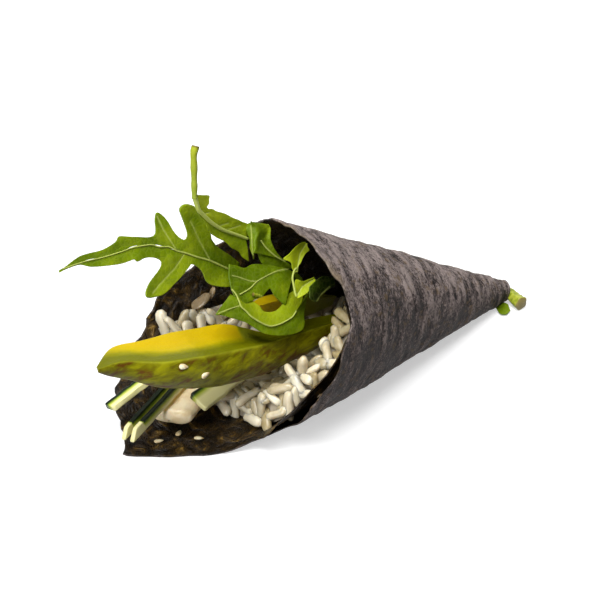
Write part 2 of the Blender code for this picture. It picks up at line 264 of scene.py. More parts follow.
class Draft:
    """Points, faces and point values of a mesh that is being put together."""

    def __init__(self) -> None:
        """Starts with nothing."""
        self.points: list[Array] = []
        self.faces: list[Array] = []
        self.values: list[dict[str, Array]] = []
        self.count = 0

    def add(self, points: Array, faces: list[Array], **values: Union[float, Array]) -> None:
        """Adds one closed body, turned so that its faces look outwards.

        Args:
            points: Its points in millimetres, in any shape that ends in three coordinates.
            faces: Arrays of point numbers, one row for each face.
            **values: Values for its points, each a number or an array in the points' shape.
        """
        flat = points.reshape(-1, 3)
        if self._volume(flat, faces) < 0:
            faces = [face[:, ::-1] for face in faces]
        self.points.append(flat)
        self.faces += [face + self.count for face in faces]
        spread = {k: np.broadcast_to(v, points.shape[:-1]).reshape(-1) for k, v in values.items()}
        self.values.append(spread)
        self.count += len(flat)

    @staticmethod
    def _volume(points: Array, faces: list[Array]) -> float:
        """The signed volume inside faces: the sum of the tetrahedra from one point to each face."""
        total = 0.0
        for face in faces:
            corner = points[face] - points[0]
            for k in range(1, face.shape[1] - 1):
                normal = np.cross(corner[:, k], corner[:, k + 1])
                total += float((corner[:, 0] * normal).sum())
        return total

    def make(self, name: str, finish: bpy.types.Material) -> bpy.types.Object:
        """Makes the object, with each point value as an attribute.

        Args:
            name: The object's name.
            finish: Its material.

        Returns:
            The object, at the origin.
        """
        mesh = bpy.data.meshes.new(name)
        points = (np.concatenate(self.points) * MM).astype(np.float32)
        mesh.vertices.add(len(points))
        mesh.vertices.foreach_set("co", points.ravel())
        corners = np.concatenate([face.ravel() for face in self.faces]).astype(np.int32)
        lengths = np.concatenate([np.full(len(face), face.shape[1]) for face in self.faces])
        starts = np.concatenate([[0], np.cumsum(lengths)[:-1]]).astype(np.int32)
        mesh.loops.add(len(corners))
        mesh.loops.foreach_set("vertex_index", corners)
        mesh.polygons.add(len(lengths))
        mesh.polygons.foreach_set("loop_start", starts)
        mesh.update(calc_edges=True)
        mesh.shade_smooth()
        for key in sorted({key for part in self.values for key in part}):
            parts = zip(self.values, self.points)
            value = np.concatenate([part.get(key, np.zeros(len(p))) for part, p in parts])
            mesh.attributes.new(key, "FLOAT", "POINT").data.foreach_set("value", value.astype(np.float32))
        mesh.materials.append(finish)
        obj = bpy.data.objects.new(name, mesh)
        bpy.context.scene.collection.objects.link(obj)
        return obj


def install(draft: Draft, name: str, finish: bpy.types.Material, slot: str, *nodes: str) -> bpy.types.Object:
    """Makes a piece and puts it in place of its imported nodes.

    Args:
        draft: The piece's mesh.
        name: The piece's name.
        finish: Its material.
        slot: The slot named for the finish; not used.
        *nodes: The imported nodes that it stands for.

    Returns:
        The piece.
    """
    piece = draft.make(name, finish)
    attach(piece, "root")
    if nodes:
        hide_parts(*nodes)
    LOG.info("%s: %d faces, for %s", name, len(piece.data.polygons), ", ".join(nodes) or "no node")
    return piece


# ---------------------------------------------------------------- materials


def linear(red: int, green: int, blue: int) -> Colour:
    """The linear colour of a display colour given from 0 to 255."""
    shares = np.array([red, green, blue]) / 255
    return tuple(np.where(shares > 0.04045, ((shares + 0.055) / 1.055) ** 2.4, shares / 12.92).tolist())


class Value:
    """A shader socket with arithmetic: each operator adds a Math node."""

    def __init__(self, tree: "Tree", socket: bpy.types.NodeSocket) -> None:
        """Wraps a socket of a tree."""
        self.tree = tree
        self.socket = socket

    def _math(self, operation: str, first: Any, second: Any = 0.0) -> "Value":
        """A Math node of two feeds."""
        return self.tree.add("ShaderNodeMath", {"operation": operation}, {0: first, 1: second})

    def __add__(self, other: Any) -> "Value":
        """self + other."""
        return self._math("ADD", self, other)

    def __sub__(self, other: Any) -> "Value":
        """self - other."""
        return self._math("SUBTRACT", self, other)

    def __rsub__(self, other: Any) -> "Value":
        """other - self."""
        return self._math("SUBTRACT", other, self)

    def __mul__(self, other: Any) -> "Value":
        """self * other."""
        return self._math("MULTIPLY", self, other)

    __radd__ = __add__
    __rmul__ = __mul__

    def span(self, low: float, high: float, start: float = 0.0, end: float = 1.0) -> "Value":
        """Maps low..high smoothly to start..end, held past the ends.

        Args:
            low: Input that gives start.
            high: Input that gives end.
            start: Result at low.
            end: Result at high.

        Returns:
            The mapped value.
        """
        settings = {"interpolation_type": "SMOOTHSTEP"}
        return self.tree.add("ShaderNodeMapRange", settings, {0: self, 1: low, 2: high, 3: start, 4: end})


class Tree:
    """The nodes of one material, round its Principled shader."""

    def __init__(self, name: str) -> None:
        """Makes the material.

        Args:
            name: Its name.
        """
        self.material = bpy.data.materials.new(name)
        self.material.use_nodes = True
        self.nodes = self.material.node_tree.nodes
        self.links = self.material.node_tree.links
        self.shader = self.nodes["Principled BSDF"]

    def feed(self, socket: bpy.types.NodeSocket, source: Any) -> None:
        """Links a value to a socket, or sets the socket to a number or colour."""
        if isinstance(source, Value):
            self.links.new(source.socket, socket)
        elif isinstance(source, tuple) and socket.type == "RGBA":
            socket.default_value = (*source[:3], 1.0)
        else:
            socket.default_value = source

    def add(self, kind: str, settings: Optional[dict] = None, feeds: Optional[dict] = None,
            output: Union[int, str] = 0) -> Value:
        """Adds a node.

        Args:
            kind: The node's type.
            settings: Its own settings, set first; "stops" are a ramp's (place, colour) pairs.
            feeds: Values or constants of its inputs, by name or number.
            output: The output to return.

        Returns:
            That output.
        """
        node = self.nodes.new(kind)
        for key, setting in (settings or {}).items():
            if key == "stops":
                self._set_stops(node.color_ramp, setting)
            else:
                setattr(node, key, setting)
        for key, source in (feeds or {}).items():
            self.feed(node.inputs[key], source)
        return Value(self, node.outputs[output])

    @staticmethod
    def _set_stops(ramp: bpy.types.ColorRamp, stops: Sequence[tuple[float, Colour]]) -> None:
        """Gives a ramp its (place, colour) stops."""
        while len(ramp.elements) < len(stops):
            ramp.elements.new(1.0)
        for element, (place, colour) in zip(ramp.elements, stops):
            element.position = place
            element.color = (*colour, 1.0)

    def attribute(self, name: str) -> Value:
        """A point value of the piece."""
        return self.add("ShaderNodeAttribute", {"attribute_name": name}, output="Fac")

    def vector(self, x: Any, y: Any, z: Any = 0.0) -> Value:
        """A vector of three values."""
        return self.add("ShaderNodeCombineXYZ", None, {0: x, 1: y, 2: z})

    def place(self, lump: Sequence[float] = (1, 1, 1)) -> Value:
        """The object's own coordinates, counted in lumps of the given sizes in millimetres."""
        spot = self.add("ShaderNodeTexCoord", output="Object")
        size = tuple(1 / (MM * side) for side in lump)
        return self.add("ShaderNodeVectorMath", {"operation": "MULTIPLY"}, {0: spot, 1: size})

    def noise(self, where: Value, scale: float = 1.0, detail: float = 3.0, rough: float = 0.55,
              warp: float = 0.0) -> Value:
        """A noise texture.

        Args:
            where: Its coordinates.
            scale: Lumps for each unit of them.
            detail: Octaves.
            rough: Strength of the finer octaves.
            warp: Distortion.

        Returns:
            The noise, about 0.5 in the middle.
        """
        feeds = {"Vector": where, "Scale": scale, "Detail": detail, "Roughness": rough, "Distortion": warp}
        return self.add("ShaderNodeTexNoise", None, feeds)

    def ramp(self, value: Value, *stops: tuple[float, Colour]) -> Value:
        """A colour ramp."""
        return self.add("ShaderNodeValToRGB", {"stops": stops}, {0: value})

    def mix(self, share: Any, first: Any, second: Any) -> Value:
        """A blend of two colours: first at share 0, second at 1."""
        settings = {"data_type": "RGBA"}
        return self.add("ShaderNodeMix", settings, {0: share, 6: first, 7: second}, output=2)

    def bump(self, height: Value, depth: float) -> None:
        """Feeds the shader's Normal from a height of 0 to 1 that is depth millimetres deep."""
        self.feed(self.shader.inputs["Normal"], self.add(
            "ShaderNodeBump", None, {"Strength": 1.0, "Distance": depth * MM, "Height": height}))

    def dress(self, **sockets: Any) -> bpy.types.Material:
        """Feeds the shader's sockets, named with _ for a space, and returns the material."""
        for key, source in sockets.items():
            self.feed(self.shader.inputs[key.replace("_", " ")], source)
        return self.material

    def soft(self, weight: float, depth: tuple[float, float, float]) -> None:
        """Lets light into the surface.

        Args:
            weight: Share of the light that enters.
            depth: How far red, green and blue travel, in millimetres.
        """
        self.shader.inputs["Subsurface Weight"].default_value = weight
        self.shader.inputs["Subsurface Radius"].default_value = depth
        self.shader.inputs["Subsurface Scale"].default_value = MM


@dataclass(frozen=True)
class NoriFinish:
    """Roasted seaweed: grey violet and fibrous outside, dark brown and moist inside.

    Display colours from 0 to 255; sizes in millimetres.
    """

    # The darkest colour: the lowest random tone, and the painted shade in the creases.
    crack_and_crease_shade: tuple = (16, 12, 12)
    shade: tuple = (54, 45, 43)
    body: tuple = (96, 84, 81)
    light: tuple = (150, 136, 131)
    fleck: tuple = (112, 92, 66)
    # A beige for the torn rim near the top: the edge's own paler colour with painted light.
    lit_torn_rim_colour: tuple = (160, 142, 116)
    inside_dark: tuple = (6, 4, 2)
    inside_brown: tuple = (32, 22, 9)
    inside_olive: tuple = (66, 49, 18)
    # A gold for painted glints where light shines through the thin sheet.
    inside_gold_glint: tuple = (140, 110, 52)
    relief: float = 1.0

    def build(self) -> bpy.types.Material:
        """The material, which tells its two faces apart by the attribute side; under the second layer, side also gives
        the first layer's outer face the dark inside colours, painted shade between the layers.
        """
        tree = Tree("nori")
        run, reach = tree.attribute("run"), tree.attribute("reach")
        fibres = tree.noise(tree.vector(run * 0.5, reach * 1.2), detail=5, rough=0.7, warp=1.8)
        bands = tree.noise(tree.vector(run * 0.22, reach * 0.5), detail=4, rough=0.6, warp=1.8)
        grain = tree.noise(tree.place((0.75, 0.75, 0.75)), detail=4, rough=0.75)
        # The ridge attribute paints light and shade: wrinkle ridges and the top of the roll lighter, valleys and the
        # lower near side darker.
        tone = fibres * 0.42 + bands * 0.2 + grain * 0.38 + tree.attribute("ridge") * 0.06
        hairs = tree.noise(tree.vector(run * 0.14, reach * 0.8), detail=2, warp=2.2)
        hairs = hairs.span(0.485, 0.5) * hairs.span(0.5, 0.515, 1.0, 0.0)
        outside = tree.ramp(
            tone, (0.43, linear(*self.crack_and_crease_shade)), (0.47, linear(*self.shade)), (0.51, linear(*self.body)),
            (0.57, linear(*self.light)))
        outside = tree.mix(hairs * 0.35, outside, linear(*self.light))
        flecks = tree.noise(tree.place((2.2, 2.2, 2.2)), detail=3).span(0.56, 0.68)
        outside = tree.mix(flecks * 0.6, outside, linear(*self.fleck))
        # Painted shade: the crease attribute darkens the wrinkle valleys and the dark lines.
        outside = tree.mix(tree.attribute("crease") * 0.95, outside, linear(*self.crack_and_crease_shade))
        # Painted light: the torn rim near the top of the roll turns lighter beige.
        outside = tree.mix(tree.attribute("torn") * 0.8, outside, linear(*self.lit_torn_rim_colour))
        lumps = tree.noise(tree.place((3.4, 3.4, 3.4)), detail=5, rough=0.68, warp=0.8)
        # The inside: dark, brown and olive lumps, with painted gold glints of light through the sheet where the lumps
        # are highest.
        inside = tree.ramp(
            lumps, (0.36, linear(*self.inside_dark)), (0.5, linear(*self.inside_brown)),
            (0.6, linear(*self.inside_olive)), (0.7, linear(*self.inside_gold_glint)))
        # Painted shade: the inside turns towards near black deeper in the cone, below a reach of 112 mm.
        inside = tree.mix(reach.span(84.0, 112.0, 0.8, 0.0), inside, linear(*self.inside_dark))
        side = tree.attribute("side")
        height = fibres * 0.45 + bands * 0.25 + grain * 0.3
        tree.bump(tree.add("ShaderNodeMix", {"data_type": "FLOAT"}, {0: side, 2: lumps * 1.6, 3: height}),
                  self.relief)
        tree.shader.inputs["Specular IOR Level"].default_value = 0.25
        return tree.dress(Base_Color=tree.mix(side, inside, outside), Roughness=side * 0.4 + 0.3)


@dataclass(frozen=True)
class RiceFinish:
    """Moist cooked grains, with light passing a little way through them."""

    pale: tuple = (212, 202, 178)
    clear: tuple = (146, 131, 94)
    name: str = "rice"

    def build(self) -> bpy.types.Material:
        """The material, which varies from grain to grain by the attribute tint, which also carries painted shade on
        grains high on the near wall.
        """
        tree = Tree(self.name)
        cloud = tree.noise(tree.place((1.6, 1.6, 1.6)), detail=2)
        share = tree.attribute("tint") * 0.75 + cloud * 0.5 - 0.08
        tree.soft(0.6, (2.6, 2.1, 1.4))
        tree.bump(tree.noise(tree.place((0.8, 0.8, 0.8)), detail=2), 0.05)
        colour = tree.ramp(share, (0.15, linear(*self.clear)), (0.85, linear(*self.pale)))
        return tree.dress(Base_Color=colour, Roughness=0.24)


@dataclass(frozen=True)
class AvocadoFinish:
    """Ripe flesh: lime green under the skin, then yellow; olive and streaked where it was peeled."""

    rim: tuple = (104, 106, 0)
    lime: tuple = (136, 132, 0)
    yellow: tuple = (186, 164, 2)
    deep: tuple = (196, 166, 6)
    olive: tuple = (102, 98, 0)
    bark: tuple = (88, 56, 6)
    fresh: tuple = (136, 134, 4)
    # A light green for the painted highlight along the ridge and on the knob.
    lip: tuple = (168, 174, 50)

    def build(self) -> bpy.types.Material:
        """The material, by the attributes flesh (mm from the skin), peel and lip, the last a painted highlight along
        the ridge and on the knob.
        """
        tree = Tree("avocado")
        flesh = tree.attribute("flesh")
        wander = tree.noise(tree.place((9, 5, 5)), detail=3)
        depth = (flesh + wander * 2.4 - 1.2).span(0.0, 9.0)
        cut = tree.ramp(
            depth, (0.0, linear(*self.rim)), (0.2, linear(*self.rim)), (0.4, linear(*self.lime)),
            (0.64, linear(*self.yellow)), (0.95, linear(*self.deep)))
        blotches = tree.noise(tree.place((9, 5, 3.6)), detail=3, warp=0.8)
        streaks = tree.noise(tree.place((5, 2.2, 1.5)), detail=5, rough=0.62, warp=0.6)
        streaks = streaks * 0.55 + blotches * 0.45
        peeled = tree.ramp(
            streaks, (0.41, linear(*self.bark)), (0.49, linear(*self.olive)), (0.6, linear(*self.fresh)))
        colour = tree.mix(tree.attribute("peel"), cut, peeled)
        # Painted highlight: lighter green along the ridge and on the knob.
        colour = tree.mix(tree.attribute("lip") * 0.3, colour, linear(*self.lip))
        tree.shader.inputs["Specular IOR Level"].default_value = 0.18
        tree.soft(0.1, (2.4, 1.6, 0.3))
        tree.bump(streaks * 0.7 + tree.noise(tree.place((1.2, 0.8, 0.8)), detail=3) * 0.3, 0.35)
        return tree.dress(Base_Color=colour, Roughness=streaks * 0.3 + 0.24)


@dataclass(frozen=True)
class CucumberFinish:
    """Wet cut cucumber: dark skin, a green band under it and pale flesh."""

    skin: tuple = (10, 20, 4)
    band: tuple = (76, 106, 14)
    green: tuple = (170, 180, 62)
    flesh: tuple = (232, 226, 166)

    def build(self) -> bpy.types.Material:
        """The material, by the attribute from_skin, in millimetres."""
        tree = Tree("cucumber")
        fibres = tree.noise(tree.place((5, 1.0, 1.0)), detail=3)
        depth = (tree.attribute("from_skin") + fibres * 0.5 - 0.25).span(0.0, 4.5)
        colour = tree.ramp(
            depth, (0.02, linear(*self.skin)), (0.06, linear(*self.band)), (0.2, linear(*self.green)),
            (0.55, linear(*self.flesh)))
        tree.soft(0.2, (1.6, 1.6, 0.8))
        tree.bump(fibres, 0.12)
        tree.shader.inputs["Specular IOR Level"].default_value = 0.25
        return tree.dress(Base_Color=colour, Roughness=0.36)


@dataclass(frozen=True)
class CreamFinish:
    """The soft pale strip: smooth, moist and cream-coloured."""

    pale: tuple = (250, 232, 196)
    warm: tuple = (230, 208, 164)

    def build(self) -> bpy.types.Material:
        """The material."""
        tree = Tree("pale_strip")
        cloud = tree.noise(tree.place((4, 3, 3)), detail=4, warp=0.4)
        tree.soft(0.3, (2.2, 1.6, 1.0))
        tree.bump(cloud, 0.25)
        colour = tree.ramp(cloud, (0.38, linear(*self.warm)), (0.6, linear(*self.pale)))
        return tree.dress(Base_Color=colour, Roughness=0.3)


@dataclass(frozen=True)
class LeafFinish:
    """Fresh rocket: mid green with pale veins, paler and duller underneath."""

    # dark: the lowest stop, for painted shade on the leaf deep in the mouth.
    dark: tuple = (22, 34, 2)
    deep: tuple = (58, 80, 2)
    body: tuple = (96, 118, 2)
    bright: tuple = (158, 172, 22)
    under: tuple = (84, 106, 34)
    vein: tuple = (184, 194, 104)
    stalk: tuple = (150, 158, 34)
    cut: tuple = (104, 92, 40)

    def build(self) -> bpy.types.Material:
        """The material, by the attributes vein, tone, under, stalk and cut."""
        tree = Tree("leaf")
        patches = tree.noise(tree.place((5, 5, 5)), detail=4, warp=0.4)
        cells = tree.add("ShaderNodeTexVoronoi", {"feature": "DISTANCE_TO_EDGE"},
                         {"Vector": tree.place((1.5, 1.5, 1.5)), "Scale": 1.0}, output="Distance")
        net = cells.span(0.02, 0.16, 1.0, 0.0)
        share = patches * 0.5 + tree.attribute("tone") * 0.5
        blade = tree.ramp(
            share, (0.0, linear(*self.dark)), (0.2, linear(*self.deep)), (0.48, linear(*self.body)), (0.85, linear(*self.bright)))
        blade = tree.mix(net * 0.05, blade, linear(*self.vein))
        blade = tree.mix(tree.attribute("under") * 0.7, blade, linear(*self.under))
        colour = tree.mix(tree.attribute("vein") * 0.85, blade, linear(*self.vein))
        colour = tree.mix(tree.attribute("stalk"), colour, linear(*self.stalk))
        colour = tree.mix(tree.attribute("cut"), colour, linear(*self.cut))
        tree.shader.inputs["Specular IOR Level"].default_value = 0.13
        tree.soft(0.1, (1.2, 1.6, 0.2))
        tree.bump(patches * 0.5 - net * 0.25 + 0.25, 0.12)
        return tree.dress(Base_Color=colour, Roughness=patches * 0.25 + 0.32)


@dataclass(frozen=True)
class StemFinish:
    """A cut leaf stem: pale green, grooved along its length, brownish where it was cut."""

    body: tuple = (166, 172, 54)
    shade: tuple = (124, 140, 26)
    cut: tuple = (142, 126, 62)

    def build(self) -> bpy.types.Material:
        """The material, by the attribute cut."""
        tree = Tree("stem")
        streaks = tree.noise(tree.place((4, 1, 1)), detail=3)
        colour = tree.ramp(streaks, (0.38, linear(*self.shade)), (0.58, linear(*self.body)))
        colour = tree.mix(tree.attribute("cut"), colour, linear(*self.cut))
        tree.bump(streaks, 0.12)
        tree.soft(0.15, (1.2, 1.4, 0.5))
        return tree.dress(Base_Color=colour, Roughness=0.38)


@dataclass(frozen=True)
class SeedFinish:
    """Hulled sesame: cream with darker patches."""

    pale: tuple = (236, 226, 190)
    dark: tuple = (190, 160, 104)

    def build(self) -> bpy.types.Material:
        """The material."""
        tree = Tree("sesame")
        cloud = tree.noise(tree.place((1.2, 1.2, 1.2)), detail=2)
        colour = tree.ramp(cloud, (0.35, linear(*self.dark)), (0.6, linear(*self.pale)))
        tree.soft(0.1, (0.8, 0.6, 0.4))
        return tree.dress(Base_Color=colour, Roughness=0.4)


# ---------------------------------------------------------------- the rolled sheet


@dataclass(frozen=True)
class Roll:
    """The cone that the sheet is rolled on, and the way the sheet lies on it.

    The cone lies on the table along the line at 180 degrees, where its wall is flat to flat_angle each
    side. The first layer runs from start to step_out, climbs there, and the second layer runs to end.
    """

    half_angle: float = 15.4
    flat_angle: float = 14.0
    apex_x: float = 70.0
    thickness: float = 0.5
    layer_step: float = 0.85
    tip_reach: float = 8.5
    mouth_slack: float = 2.4
    start: float = 12.0
    step_out: tuple[float, float] = (300.0, 372.0)
    end: float = 660.0
    rim: Stations = (
        (12, 97), (45, 97), (77, 98), (94, 103), (113, 110), (135, 114), (154, 117), (170, 128),
        (191, 142), (207, 138), (222, 133), (247, 124), (263, 118), (279, 111), (296, 107), (330, 103),
        (350, 106), (369, 107), (384, 106), (405, 102), (424, 100), (438, 103), (450, 105), (472, 108),
        (497, 107), (525, 112), (545, 106), (585, 97), (630, 90), (660, 87),
    )

    def place(self, reach: Array, angle: Array, offset: Array) -> Array:
        """World points on the cone's wall.

        A point lies reach * cos(half angle) along the axis from the cone's point, and its radius is
        reach * sin(half angle) + offset, cut by a plane near the table.

        Args:
            reach: Distance from the cone's point along the wall.
            angle: Angle round the axis in degrees.
            offset: Distance outwards from the wall.

        Returns:
            Points in millimetres.
        """
        reach, angle, offset = np.broadcast_arrays(reach, angle, offset)
        half, flat = math.radians(self.half_angle), math.radians(self.flat_angle)
        lean = math.atan(math.tan(half) * math.cos(flat))
        turn = np.radians(angle)
        from_table = np.abs(np.mod(turn, 2 * math.pi) - math.pi)
        radius = reach * math.sin(half)
        flattened = (radius * math.cos(flat) + offset) / np.cos(np.minimum(from_table, flat))
        radius = np.where(from_table < flat, np.minimum(radius + offset, flattened), radius + offset)
        along = reach * math.cos(half)
        up = radius * np.cos(turn)
        height = (self.layer_step + self.thickness / 2) * math.cos(lean)
        x = self.apex_x - along * math.cos(lean) + up * math.sin(lean)
        z = height + along * math.sin(lean) + up * math.cos(lean)
        return np.stack([x, -radius * np.sin(turn), z], -1)

    def offset(self, angle: Array, reach: Array) -> Array:
        """How far the middle of the sheet lies outside the wall: the layer, less the mouth's slack."""
        layer = self.layer_step * ease(angle, *self.step_out)
        window = ease(angle, 12, 60) * (1 - ease(angle, 130, 166))
        return layer - self.mouth_slack * window * ease(reach, 35, 105)

    def arc(self, angle: Array, reach: Array, middle: float = 450.0) -> Array:
        """Length along the sheet at one reach, counted from a middle angle."""
        return np.radians(angle - middle) * math.sin(math.radians(self.half_angle)) * reach


@dataclass(frozen=True)
class Crease:
    """A wrinkle across the sheet: its middle, half length in degrees, slope, depth and half width."""

    angle: float
    reach: float
    half_length: float
    slope: float
    depth: float
    width: float


@dataclass
class NoriWrap:
    """The one sheet of nori, rolled nearly two turns round."""

    roll: Roll
    rows: int = 158
    columns: int = 312
    sheet: float = 0.42
    sway: float = 0.42
    sag: float = 0.85
    tear: float = 0.75
    crumple: float = 0.3
    deepest: tuple[Crease, ...] = (
        Crease(407, 67.2, 21, -0.05, 0.8, 0.55), Crease(405, 53.2, 17, -0.05, 0.7, 0.5),
        Crease(416, 83.5, 26, 0.06, 0.4, 0.45), Crease(394, 86, 16, 0.08, 0.3, 0.5),
        Crease(428, 76, 15, -0.03, 0.35, 0.5), Crease(412, 43, 13, -0.03, 0.4, 0.5),
        Crease(370, 80, 9, 0.04, 0.35, 0.5), Crease(436, 98, 12, 0.02, 0.3, 0.45),
    )
    scattered: int = 60

    def creases(self) -> list[Crease]:
        """The deep wrinkles and the scattered fine ones."""
        rng = np.random.default_rng(5)
        low = (375, 18, 5, -0.06, 0.1, 0.28)
        high = (655, 102, 17, 0.06, 0.3, 0.5)
        fine = rng.uniform(low, high, (self.scattered, 6))
        return [*self.deepest, *(Crease(*row) for row in fine)]

    def crease_field(self, angle: Array, reach: Array) -> tuple[Array, Array]:
        """Depth of the wrinkles and the painted shade in their valleys, at points of the sheet.

        Each wrinkle is a valley exp(-(d/w)^2) across its line with a low lip beside it, faded out at
        its two ends by exp(-(a/half length)^4).

        Args:
            angle: Angles of the points.
            reach: Reaches of the points.

        Returns:
            The relief in millimetres and the painted shade in the valleys, from 0 to 1.
        """
        relief, dark = np.zeros(angle.shape), np.zeros(angle.shape)
        for crease in self.creases():
            wander = 0.9 * np.sin(np.radians(angle * 7.0 + crease.reach * 40)) * 0.5
            line = crease.reach + crease.slope * (angle - crease.angle) + wander
            ends = bell(angle, crease.angle, crease.half_length, 4)
            valley = ends * bell(reach, line, crease.width)
            lip = ends * bell(reach, line + 1.9 * crease.width, crease.width)
            relief += crease.depth * (0.45 * lip - valley)
            # Painted shade: each valley is darkened in step with the wrinkle's depth.
            dark = np.maximum(dark, valley * min(1.0, crease.depth / 0.4))
        return relief, dark

    def wrinkle_field(self, angle: Array, reach: Array) -> tuple[Array, Array]:
        """Wrinkles that run round the cone, and dark lines of painted shade in some of their valleys.

        Both come from noise stretched along the sheet: its height is the relief, and a dark line is exp(-(n / 0.09)^2)
        where a second such noise n passes through nought; the sheet dips a little there and the line is painted shade.

        Args:
            angle: Angles of the points.
            reach: Reaches of the points.

        Returns:
            The relief in millimetres and the painted shade along the dark lines.
        """
        run = self.roll.arc(angle, reach)
        drift = 1.6 * NOISE.at(np.stack([run / 9, reach / 9, 0 * run], -1), 1.0)
        long = NOISE.at(np.stack([run / 6.0, (reach + drift) / 2.3, 0 * run + 3], -1), 1.0)
        short = NOISE.at(np.stack([run / 3.2, (reach + drift) / 1.3, 0 * run + 9], -1), 1.0)
        tear = NOISE.at(np.stack([run / 6.0, (reach + drift) / 3.0, 0 * run + 17], -1), 1.0)
        patch = ease(NOISE.at(np.stack([run, reach, 0 * run], -1), 11.0), 0.1, 0.5)
        # Painted shade: thin dark lines in the valleys, in patches.
        shaded_crease_lines = np.exp(-((tear / 0.09) ** 2)) * patch
        return 0.26 * long + 0.17 * short - 0.2 * shaded_crease_lines, 0.9 * shaded_crease_lines

    def rim(self, angle: Array) -> Array:
        """Reach of the sheet's free edge: its drawn line with small tears."""
        arc = self.roll.arc(angle, 105.0)
        spot = np.stack([arc, 0 * arc, 0 * arc], -1)
        tears = NOISE.at(spot, 3.1, 2) + 0.6 * NOISE.at(spot + 50, 1.1)
        frayed = 1 + 1.3 * bell(angle, 214, 34, 4)
        return through(self.roll.rim, angle) + self.tear * frayed * tears

    def build(self) -> Draft:
        """The sheet: two faces sheet apart, joined round its edge."""
        roll = self.roll
        angle = np.linspace(roll.start, roll.end, self.columns)
        share = np.linspace(0, 1, self.rows)[:, None] ** 0.94
        rim = self.rim(angle)
        reach = roll.tip_reach + (rim - roll.tip_reach) * share
        angle = np.broadcast_to(angle, reach.shape)
        spot = roll.place(reach, angle, 0.0)
        off_table = 1 - bell(np.mod(angle, 360), 180, 24, 4)
        near_mouth = ease(reach, 20, 90)
        sway = (NOISE.at(spot, 15) * self.sway + NOISE.at(spot, 5.0) * 0.3) * off_table * (0.4 + 0.6 * near_mouth)
        flutter = 0.8 * NOISE.at(spot + 31, 7.0) * ease(reach, rim - 14, rim) * off_table
        tongue = bell(angle, 186, 42, 4) * ease(reach, 108, 121)
        middle = roll.offset(angle, reach) + sway + flutter - 0 * tongue
        middle = middle + self.sag * tongue
        relief, dark = self.crease_field(angle, reach)
        wrinkles, shaded_crease_lines = self.wrinkle_field(angle, reach)
        fine = (0.05 * NOISE.at(spot, 1.9) + wrinkles) * off_table
        # Painted shade from the creases and the dark lines, passed on as the crease attribute.
        dark = np.maximum(dark, shaded_crease_lines)
        lumps = self.crumple * (1 + 1.2 * tongue) * (NOISE.at(spot + 9, 3.2, 2) - 0.2) * ease(reach, 60, 95)
        dent = np.maximum((relief + fine) * off_table, -0.6)
        outer = roll.place(reach, angle, middle + self.sheet / 2 + dent)
        inner = roll.place(reach, angle, middle - self.sheet / 2 - np.maximum(lumps, -0.1) + np.minimum(dent, 0))
        outer[..., 2] = np.maximum(outer[..., 2], 0.02)
        inner[..., 2] = np.maximum(inner[..., 2], 0.2)
        # Painted light on the torn rim: lighter within 4 mm of the edge near the top, broken up by noise.
        edge = ease(reach, rim - 4, rim) * bell(angle, 380, 26, 4)
        torn = edge * ease(NOISE.at(spot, 2.5), -0.5, 0.4)
        # Painted light and shade: lighter near the top of the second layer, darker on the near side below it.
        lit = 0.7 * bell(angle, 374, 40) - 0.7 * ease(angle, 425, 475)
        draft = Draft()
        draft.add(
            np.stack([outer, inner]), slab_faces(self.rows, self.columns),
            # side: 1 for the outer face, but 0 on it below 140 degrees, where the second layer covers it: painted
            # shade between the layers.
            side=np.stack([ease(angle, 140, 170), np.zeros(reach.shape)]),
            # ridge: the wrinkle height, for painted light on ridges and painted shade in valleys, plus the painted top
            # light.
            ridge=np.stack([wrinkles / 0.25 + lit, 0 * wrinkles]),
            run=np.stack([roll.arc(angle, reach)] * 2), reach=np.stack([reach] * 2),
            crease=np.stack([dark, 0 * dark]), torn=np.stack([torn, torn]))
        return draft


# ---------------------------------------------------------------- the rice


@dataclass(frozen=True)
class GrainShape:
    """One grain: a body of length by width by height with blunt ends, slightly bent."""

    length: float = 7.2
    width: float = 2.9
    height: float = 2.3
    bend: float = 0.3
    rings: int = 7
    around: int = 8

    def build(self) -> tuple[Array, list[Array]]:
        """Squarish rings along x whose radius is (1 - |x|^7)^(1/2.6), closed at both ends."""
        step = (np.arange(self.rings) + 0.5) / self.rings
        x = -np.cos(math.pi * step)
        radius = (1 - np.abs(x) ** 7) ** (1 / 2.6)
        turn = np.linspace(0, 2 * math.pi, self.around, endpoint=False)
        flat, tall = (np.sign(v) * np.abs(v) ** 0.8 for v in (np.cos(turn + 0.3), np.sin(turn + 0.3)))
        y = radius[:, None] * flat * self.width / 2
        z = radius[:, None] * tall * self.height / 2 - self.bend * (x[:, None] ** 2 - 0.4)
        along = np.broadcast_to(x[:, None] * self.length / 2, y.shape)
        points, faces = tube(np.stack([along, y, z], -1))
        points[-2:, 0] = (-self.length / 2, self.length / 2)
        return points, faces


def scatter(shape: tuple[Array, list[Array]], axes: Array, places: Array) -> tuple[Array, list[Array]]:
    """Copies of one closed shape.

    Args:
        shape: Its points and faces.
        axes: For each copy, the three vectors that its x, y and z become, with their scale.
        places: Where each copy goes.

    Returns:
        All the points, copy by copy, and all the faces.
    """
    points, faces = shape
    moved = np.einsum("pk,nkc->npc", points, axes) + places[:, None]
    starts = np.arange(len(places))[:, None, None] * len(points)
    return moved, [(face[None] + starts).reshape(-1, face.shape[1]) for face in faces]


